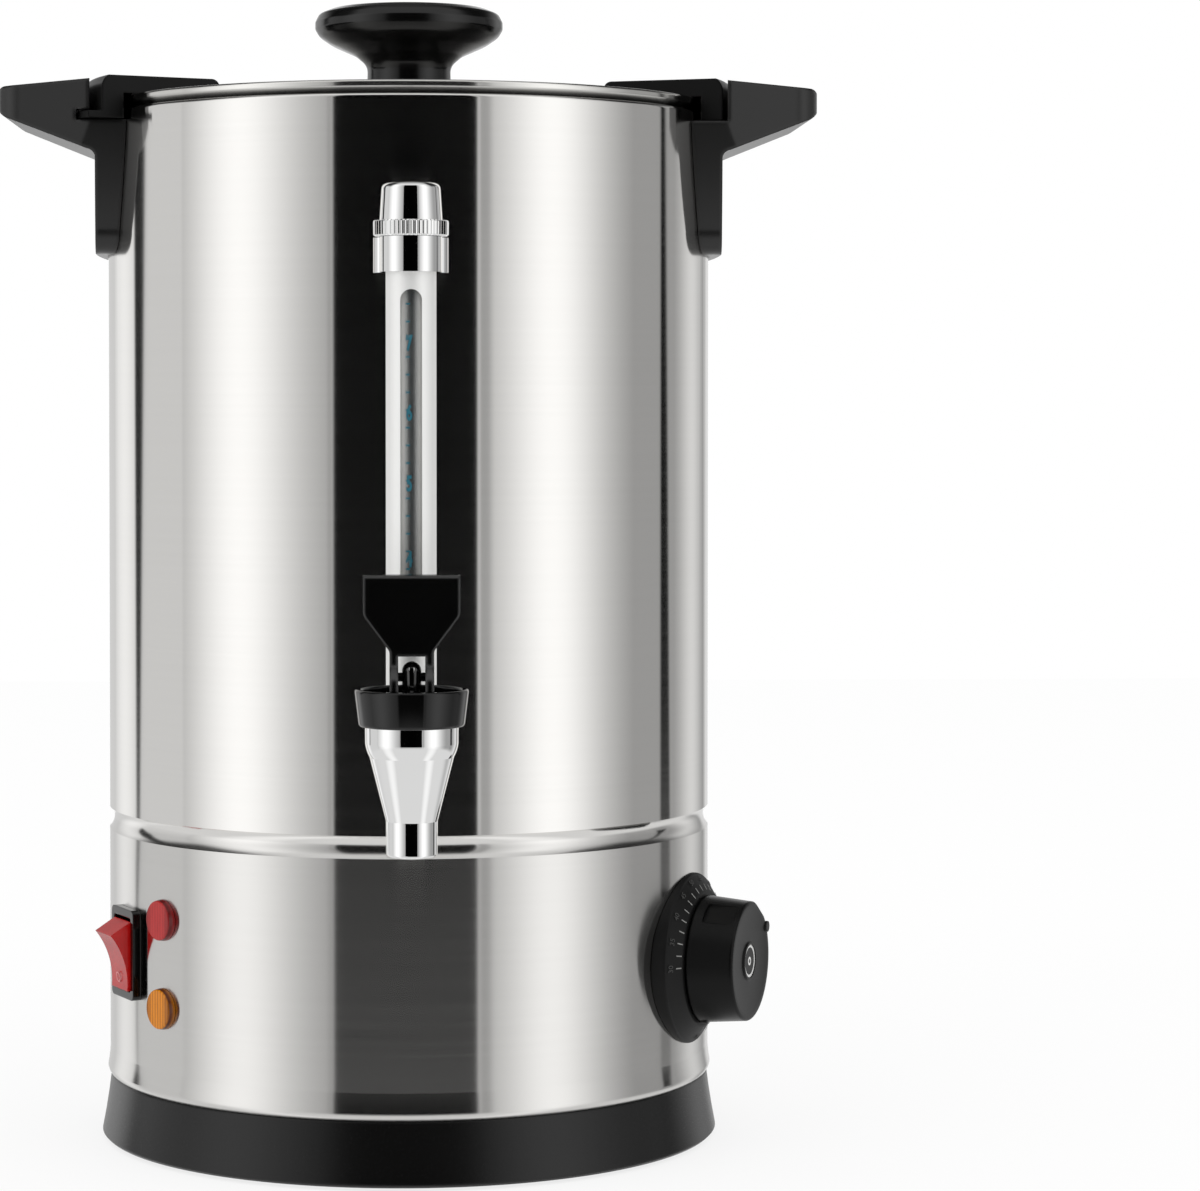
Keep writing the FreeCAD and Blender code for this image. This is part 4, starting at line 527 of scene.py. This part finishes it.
def ring(outer, inner, facets=48):
    """A flat ring of ink in the X-Y plane."""
    flat = bmesh.new()
    rows = []
    for radius, level in ((outer, 0), (outer, INK_THICKNESS), (inner, INK_THICKNESS), (inner, 0)):
        rows.append([flat.verts.new((radius * math.cos(math.tau * k / facets),
                                     radius * math.sin(math.tau * k / facets), level))
                     for k in range(facets)])
    for row, other in zip(rows, rows[1:] + rows[:1]):
        for k in range(facets):
            after = (k + 1) % facets
            flat.faces.new((row[k], row[after], other[after], other[k]))
    bmesh.ops.recalc_face_normals(flat, faces=flat.faces)
    mesh = bpy.data.meshes.new("ring")
    flat.to_mesh(mesh)
    flat.free()
    return mesh


BADGE_FACE = 0.13572
badge = joined("dial_badge", [ring(0.0060, 0.0050), ring(0.0016, 0.0008, 24)])
badge.transform(DIAL @ Matrix.Translation((0, 0, BADGE_FACE)))
white_ink = surface("white_ink", (0.60, 0.60, 0.59), (0.74, 0.74, 0.73), gloss=(0.45, 0.60),
                    patch=900, grain=4000, relief=(0.06, 0.00002))
new_piece("dial_badge", badge, white_ink, "dial")


# Switch
# A rocker of clear red plastic rests with its upper half out in a glossy black housing, which
# snaps into a cutout of the shell. Brass tabs behind it take the wires.

gloss_black = surface("gloss_black", (0.0012, 0.0012, 0.0012), (0.0022, 0.0022, 0.0022),
                      gloss=(0.06, 0.10), patch=50, grain=900, relief=(0.03, 0.00003),
                      rounding=0.0008)
dress(gloss_black, "switch_housing")
red_clear = surface("clear_red", (0.34, 0.002, 0.002), (0.50, 0.006, 0.005), gloss=(0.16, 0.26),
                    patch=160, grain=1400, relief=(0.03, 0.00003), rounding=0.0006,
                    constants={"Specular IOR Level": 0.35})
dress(red_clear, "switch_rocker")

ROCKER = facing(-65.5, 0.0741, 0.1109)
ROCKER_REST, LOWER_FACE_LEAN = math.radians(17), math.radians(-8.2)
LOWER_FACE = (0, -0.0065, 0.0086)
off_mark = ring(0.0019, 0.0015)
off_mark.transform(ROCKER @ Matrix.Rotation(ROCKER_REST, 4, "X")
                   @ Matrix.Translation(LOWER_FACE) @ Matrix.Rotation(LOWER_FACE_LEAN, 4, "X"))
pink_ink = surface("pink_ink", (0.62, 0.20, 0.20), (0.74, 0.30, 0.30), gloss=(0.40, 0.55),
                   patch=900, grain=4000, relief=(0.08, 0.00002))
new_piece("off_mark", off_mark, pink_ink, "rocker")
brass = surface("brass", (0.72, 0.52, 0.22), (0.84, 0.64, 0.32), gloss=(0.20, 0.34), patch=200,
                grain=1500, relief=(0.08, 0.00005), constants={"Metallic": 1.0})
dress(brass, "switch_terminals")


# Lamps
# Two round signal lamps, red and amber, pushed into the shell and held by spring clips. Each
# lens is one clear moulding over a small bulb.

LAMP_ANGLE = math.radians(-52)
LENS_WALL, LENS_FACE, RIB_PITCH = 0.1136, 0.11515, 0.0016


def lens(name, deep, bright, ribs):
    """A clear coloured lens with ribs moulded inside. Its colour is deep at its sides and painted
    brighter in its face and beside the wall: painted light through the lens.
    """
    made = Finish(name, {"Specular IOR Level": 0.4})
    x, y = made.part(made.place, "X"), made.part(made.place, "Y")
    sideways = x * math.cos(LAMP_ANGLE) + y * math.sin(LAMP_ANGLE)
    outward = x * math.sin(LAMP_ANGLE) - y * math.cos(LAMP_ANGLE)
    rib = 0.5 + 0.5 * (sideways * (math.tau / RIB_PITCH)).sine()
    cloud = made.noise((700, 700, 160))
    middle = 1 - made.step(abs(sideways), 0.0030, 0.0066)
    face = made.step(outward, LENS_FACE - 0.0003, LENS_FACE + 0.0003)
    near_wall = 1 - made.step(outward, LENS_WALL - 0.0010, LENS_WALL + 0.0010)
    # Painted light: the face is painted brighter in its middle and dimmer over the ribs, and the
    # edge beside the wall is painted bright.
    painted_glow = face * (0.45 + 0.55 * middle) * (1 - ribs * rib) * (0.8 + 0.4 * cloud)
    painted_glow = painted_glow.at_least(0.55 * near_wall)
    made.vary("Base Color", made.blend(painted_glow, deep, bright))
    made.vary("Roughness", 0.12 + 0.10 * cloud)
    made.relief(rib, 0.10, 0.00006, 0.0005)
    return made


red_lens = lens("red_lens", (0.11, 0.003, 0.004), (0.44, 0.024, 0.024), 0.25)
amber_lens = lens("amber_lens", (0.085, 0.016, 0.0006), (0.72, 0.24, 0.006), 0.45)
dress(red_lens, "lamp_lens_red")
dress(amber_lens, "lamp_lens_amber")
clear_glass = surface("clear_glass", (0.93, 0.96, 0.95), (0.98, 0.99, 0.98), gloss=(0.02, 0.05),
                      patch=60, grain=500, relief=(0.02, 0.00002),
                      constants={"Transmission Weight": 1.0, "IOR": 1.47})
dress(clear_glass, "lamp_bulbs")
dress(zinc, "lamp_clips")


# Power inlet
# A moulded inlet of black nylon with three brass blades, low on the back of the shell. Two zinc
# plated screws hold it.

dress(satin_black, "power_inlet")
dress(brass, "inlet_pins")
dress(zinc, "inlet_screws")


# Tap
# A brass casting, polished and chromed, is clamped through the shell with a nut and washers. A
# black bonnet screws onto it, and the lever lifts the stem with its cam against a spring.

TAP = Matrix.Translation((0, -0.165, 0))
chrome = surface("chrome", (0.94, 0.94, 0.935), (0.98, 0.98, 0.975), gloss=(0.03, 0.06), patch=40,
                 grain=300, relief=(0.02, 0.00002), constants={"Metallic": 1.0})
dress(chrome, "tap_body", "tap_stem")
lever_black = surface("lever_black", (0.0012, 0.0012, 0.0012), (0.0022, 0.0022, 0.0022),
                      gloss=(0.12, 0.18), patch=50, grain=900, relief=(0.03, 0.00003),
                      rounding=0.0017, constants={"Specular IOR Level": 1.0})
dress(lever_black, "tap_lever")
dress(gloss_black, "lever_pin")
silicone = surface("silicone", (0.62, 0.62, 0.60), (0.74, 0.74, 0.72), gloss=(0.45, 0.58),
                   patch=90, grain=1200, relief=(0.10, 0.0001))
dress(silicone, "shank_washers", "seat_cup")
dress(brass, "shank_nut")

# The closing spring stands between the seat cup and the bonnet, and shortens as the stem lifts.
coil, given = node_group("coil", {
    "Turns": "Float", "Radius": "Float", "Length": "Float", "Wire": "Float", "Finish": "Material"})
helix = coil.node("GeometryNodeCurveSpiral", None, {
    "Resolution": 40, "Rotations": given("Turns"), "Start Radius": given("Radius"),
    "End Radius": given("Radius"), "Height": given("Length")})
wire = coil.node("GeometryNodeCurvePrimitiveCircle", None, {
    "Resolution": 12, "Radius": given("Wire") / 2})
wound = coil.node("GeometryNodeCurveToMesh", None, {
    "Curve": helix, "Profile Curve": wire, "Fill Caps": True})
finished(coil, wound, given("Finish"))

SPRING_FOOT, SPRING_TOP, SPRING_WIRE, LIFT = 0.1566, 0.1729, 0.001, 0.0039
SPRING_LENGTH = SPRING_TOP - SPRING_FOOT
spring = grown("tap_spring_coil", coil.tree, {
    "Turns": 5.0, "Radius": 0.0042, "Length": SPRING_LENGTH - SPRING_WIRE, "Wire": SPRING_WIRE,
    "Finish": zinc.material})
spring.transform(TAP @ Matrix.Translation((0, 0, SPRING_FOOT + SPRING_WIRE / 2)))
spring = new_piece("tap_spring_coil", spring, zinc, "base", ("tap_spring",))
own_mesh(spring)

# Turning: a section is swept round the axis, and flutes may be pressed into its outer wall.
turning, given = node_group("turning", {
    "Section": "Geometry", "Facets": "Int", "Flutes": "Int", "Flute depth": "Float",
    "Fluted beyond": "Float", "Finish": "Material"})
size = turning.node("GeometryNodeAttributeDomainSize", None, {"Geometry": given("Section")})
rows = given("Facets") + 1
grid = turning.node("GeometryNodeMeshGrid", None, {"Vertices X": size, "Vertices Y": rows})
index = turning.node("GeometryNodeInputIndex")
column = index.math("FLOOR", (index + 0.5) / rows)
turn = (index - column * rows) / given("Facets") * math.tau
corner = turning.node("GeometryNodeSampleIndex", {"data_type": "FLOAT_VECTOR"}, {
    "Geometry": given("Section"), "Value": turning.node("GeometryNodeInputPosition"),
    "Index": column})
radius = turning.part(corner, "X")
wave = 0.5 + 0.5 * (turn * given("Flutes")).cosine()
outside = radius.math("GREATER_THAN", radius, given("Fluted beyond"))
radius = radius - given("Flute depth") * outside * wave ** 1.5
swept = turning.node("GeometryNodeSetPosition", None, {
    "Geometry": grid, "Position": turning.node("ShaderNodeCombineXYZ", None, {
        "X": radius * turn.cosine(), "Y": radius * turn.sine(), "Z": turning.part(corner, "Z")})})
swept = turning.node("GeometryNodeMergeByDistance", None, {"Geometry": swept, "Distance": 1e-6})
finished(turning, swept, given("Finish"))

FILLET_STEPS = 6
SHARP_FROM = math.radians(32)


def rounded(corners):
    """A section's points from (radius, height, fillet) corners in millimetres."""
    points = []
    for number, (r, z, fillet) in enumerate(corners):
        corner = Vector((r, z))
        if not fillet:
            points.append(corner)
            continue
        before = (Vector(corners[number - 1][:2]) - corner).normalized()
        after = (Vector(corners[number + 1][:2]) - corner).normalized()
        half = before.angle(after) / 2
        reach = fillet / math.tan(half)
        middle = corner + (before + after).normalized() * fillet / math.sin(half)
        start, end = corner + before * reach - middle, corner + after * reach - middle
        sweep = start.angle_signed(end)
        for step in range(FILLET_STEPS + 1):
            points.append(middle + Matrix.Rotation(-sweep * step / FILLET_STEPS, 2) @ start)
    return [(point.x / 1000, 0, point.y / 1000) for point in points]


def turned_piece(name, corners, finish, body, place=Matrix(), facets=96, flutes=0,
                 depth=0.0, beyond=1.0, nodes=()):
    """A piece turned from a section by the turning tree."""
    points = rounded(corners)
    section = bpy.data.meshes.new(name + "_section")
    section.from_pydata(points, [(k, k + 1) for k in range(len(points) - 1)], [])
    mesh = grown(name, turning.tree, {
        "Facets": facets, "Flutes": flutes, "Flute depth": depth, "Fluted beyond": beyond,
        "Finish": finish.material}, section)
    whole = bmesh.new()
    whole.from_mesh(mesh)
    bmesh.ops.recalc_face_normals(whole, faces=whole.faces)
    for face in whole.faces:
        face.smooth = True
    whole.to_mesh(mesh)
    whole.free()
    mesh.set_sharp_from_angle(angle=SHARP_FROM)
    mesh.transform(place)
    return new_piece(name, mesh, finish, body, nodes)


turned_piece("bonnet", [
    (2.8, 173.0, 0), (15.5, 173.0, 0.3), (15.5, 167.25, 0), (17.3, 167.25, 0.3),
    (17.75, 167.9, 0.3), (19.08, 179.0, 0.8), (18.6, 179.65, 0.45), (17.2, 179.65, 0.4),
    (16.8, 179.0, 0.3), (16.8, 174.8, 0.6), (2.8, 174.8, 0), (2.8, 173.0, 0)],
    gloss_black, "base", TAP, nodes=("tap_bonnet",))


# Water gauge
# A glass tube stands in the tap inside a slotted guard of satin chromed tube. A collar holds it
# to the shell, and a knurled ring and a cap close its upper end.

GAUGE = Matrix.Translation((0, -0.137, 0))
satin_chrome = surface("satin_chrome", (0.90, 0.90, 0.885), (0.95, 0.95, 0.935),
                       gloss=(0.46, 0.54), patch=40, grain=1500, relief=(0.04, 0.00003),
                       constants={"Metallic": 0.55})
dress(satin_chrome, "gauge_guard")
dress(chrome, "gauge_holder")
turned_piece("gauge_ring", [
    (7.4, 331.6, 0), (12.3, 331.6, 0.2), (12.85, 332.1, 0.2), (12.9, 336.6, 0.2),
    (12.6, 337.0, 0.1), (7.4, 337.0, 0), (7.4, 331.6, 0)],
    chrome, "base", GAUGE, facets=416, flutes=52, depth=0.00095, beyond=0.0112,
    nodes=("gauge_ring",))
turned_piece("gauge_cap", [
    (4.3, 329.1, 0), (7.25, 329.1, 0), (7.25, 337.0, 0), (10.8, 337.0, 0), (10.0, 349.9, 2.2),
    (1.6, 349.9, 0.2), (1.5, 347.0, 0), (4.3, 346.0, 0), (4.3, 329.1, 0)],
    chrome, "base", GAUGE, facets=128, nodes=("gauge_cap",))

# The tube is clear in its middle. Towards its sides, where its wall is seen edge-on, it is painted
# white and less clear: a painted sheen.
SIGHT_LINE = 0.0001
gauge_clear = Finish("gauge_tube", {"IOR": 1.5})
sheen = gauge_clear.noise((60, 60, 30))
sideways = gauge_clear.part(gauge_clear.place, "X") - SIGHT_LINE
painted_edge_sheen = gauge_clear.step(abs(sideways), 0.0002, 0.0036)
gauge_clear.vary("Base Color", gauge_clear.blend(painted_edge_sheen, (0.16, 0.17, 0.17), (0.88, 0.88, 0.86)))
gauge_clear.vary("Roughness", 0.04 + 0.05 * sheen)
gauge_clear.vary("Alpha", 0.16 + 0.70 * painted_edge_sheen + 0.04 * sheen)
dress(gauge_clear, "gauge_glass")

# The guard's back half is lined with a thin grey strip, which shows through the tube.
lining = Finish("gauge_lining", {"Specular IOR Level": 0.3})
off_middle = abs(lining.part(lining.place, "X") - SIGHT_LINE)
stain = lining.noise((300, 300, 60))
# The strip's pale colour is painted dark along its middle: painted shade inside the guard.
lining.vary("Base Color", lining.blend(
    lining.step(off_middle, 0.0004, 0.0034) * (0.85 + 0.3 * stain),
    (0.045, 0.046, 0.045), (0.62, 0.61, 0.59)))
lining.vary("Roughness", 0.45 + 0.1 * stain)
lining.relief(stain, 0.05, 0.00003)
lining_piece = turned_piece("gauge_lining", [
    (7.60, 178.0, 0), (7.60, 318.0, 0), (7.45, 318.0, 0), (7.45, 178.0, 0), (7.60, 178.0, 0)],
    lining, "base", GAUGE)
half = bmesh.new()
half.from_mesh(lining_piece.data)
bmesh.ops.bisect_plane(half, geom=half.verts[:] + half.edges[:] + half.faces[:],
                       plane_co=GAUGE @ Vector((0, 0.0005, 0)), plane_no=(0, -1, 0),
                       clear_outer=True)
bmesh.ops.holes_fill(half, edges=[edge for edge in half.edges if edge.is_boundary])
half.to_mesh(lining_piece.data)
half.free()

# Bars and litre numbers are printed on the tube in blue-green.
GLASS_RADIUS = 0.00553
TICKS_FROM, TICK_GAP, TICKS_BESIDE = 0.1946, 0.0060, math.radians(12)
NUMBER_SIZE, NUMBER_BOLDER, NUMBER_WIDTH, NUMBER_HEIGHT = 0.0060, 0.00022, 0.7, 1.2
NUMBER_BESIDE = 0.0007
teal_ink = surface("teal_ink", (0.004, 0.105, 0.155), (0.008, 0.150, 0.210), gloss=(0.45, 0.60),
                   patch=900, grain=4000, relief=(0.06, 0.00002))
litre_ticks = grown("litre_ticks", marks.tree, {
    "Count": 21, "Radius": GLASS_RADIUS, "First angle": -math.pi / 2 - TICKS_BESIDE,
    "Angle step": 0.0, "First height": TICKS_FROM, "Height step": TICK_GAP, "Lean": 0.0,
    "Bar": (0.00010, 0.0015, 0.00050), "Ink": teal_ink.material})
litre_ticks.transform(GAUGE)
new_piece("litre_ticks", litre_ticks, teal_ink, "base")
litres = []
for numeral, level in ((7, 0.2951), (6, 0.2714), (5, 0.2474), (4, 0.2216)):
    label = lettering(str(numeral), NUMBER_SIZE, NUMBER_BOLDER)
    for vertex in label.vertices:
        across, up, off = vertex.co
        turned = (NUMBER_WIDTH * across - NUMBER_BESIDE) / GLASS_RADIUS
        reach = GLASS_RADIUS + off
        vertex.co = (reach * math.sin(turned), -reach * math.cos(turned),
                     level + NUMBER_HEIGHT * up)
    label.transform(GAUGE)
    litres.append(label)
new_piece("litre_numbers", joined("litre_numbers", litres), teal_ink, "base")
dress(silicone, "gauge_seals")
dress(zinc, "holder_screw")


# Lid
# A spun steel disc with a drawn skirt, which drops into the shell's rim. Its knob is black
# nylon, held from below by a screw, and two ears lock it under the handles.

# Below HEM the lid's colour is darkened almost to black: painted shade in the gap between the hem
# and the shell's rim.
HEM = 0.3847
lid_steel = brushed("spun_steel", (0.84, 0.83, 0.80), (0.88, 0.87, 0.84), gloss=0.16,
                    coarse_gloss=0.26, coarse_below=HEM, darkened=0.85, streak=300,
                    relief=(0.04, 0.00002))
dress(lid_steel, "lid")
knob_black = surface("polished_black_nylon", (0.0016, 0.0016, 0.0016), (0.0030, 0.0029, 0.0028),
                     gloss=(0.16, 0.22), patch=30, grain=2600, relief=(0.05, 0.00004))
turned_piece("lid_knob", [
    (0, 393.2, 0), (16.5, 393.2, 0.2), (15.8, 394.0, 0.3), (15.6, 401.8, 5.0), (20.0, 405.6, 8.0),
    (29.0, 409.6, 20.0), (33.7, 412.8, 6.0), (35.35, 415.6, 2.0), (35.35, 418.2, 2.0),
    (33.9, 421.2, 3.0), (29.0, 423.1, 6.0), (21.0, 423.6, 16.0), (0, 423.6, 0)],
    knob_black, "lid_assembly", facets=160, nodes=("lid_knob",))
dress(grip_black, "lid_lock_right", "lid_lock_left")
dress(zinc, "knob_screw", "lid_lock_screws")


# Handles
# Two ledges of black nylon, each screwed through the shell into brass inserts. The slot at the
# back of each takes a lug of the lid's ear.

handle_black = surface("handle_nylon", (0.0068, 0.0067, 0.0066), (0.0100, 0.0098, 0.0096),
                       gloss=(0.28, 0.38), patch=30, grain=2600, relief=(0.08, 0.00005),
                       rounding=0.0020, constants={"Specular IOR Level": 0.55})
dress(handle_black, "handle_right", "handle_left")
dress(brass, "handle_inserts")
dress(zinc, "handle_screws")
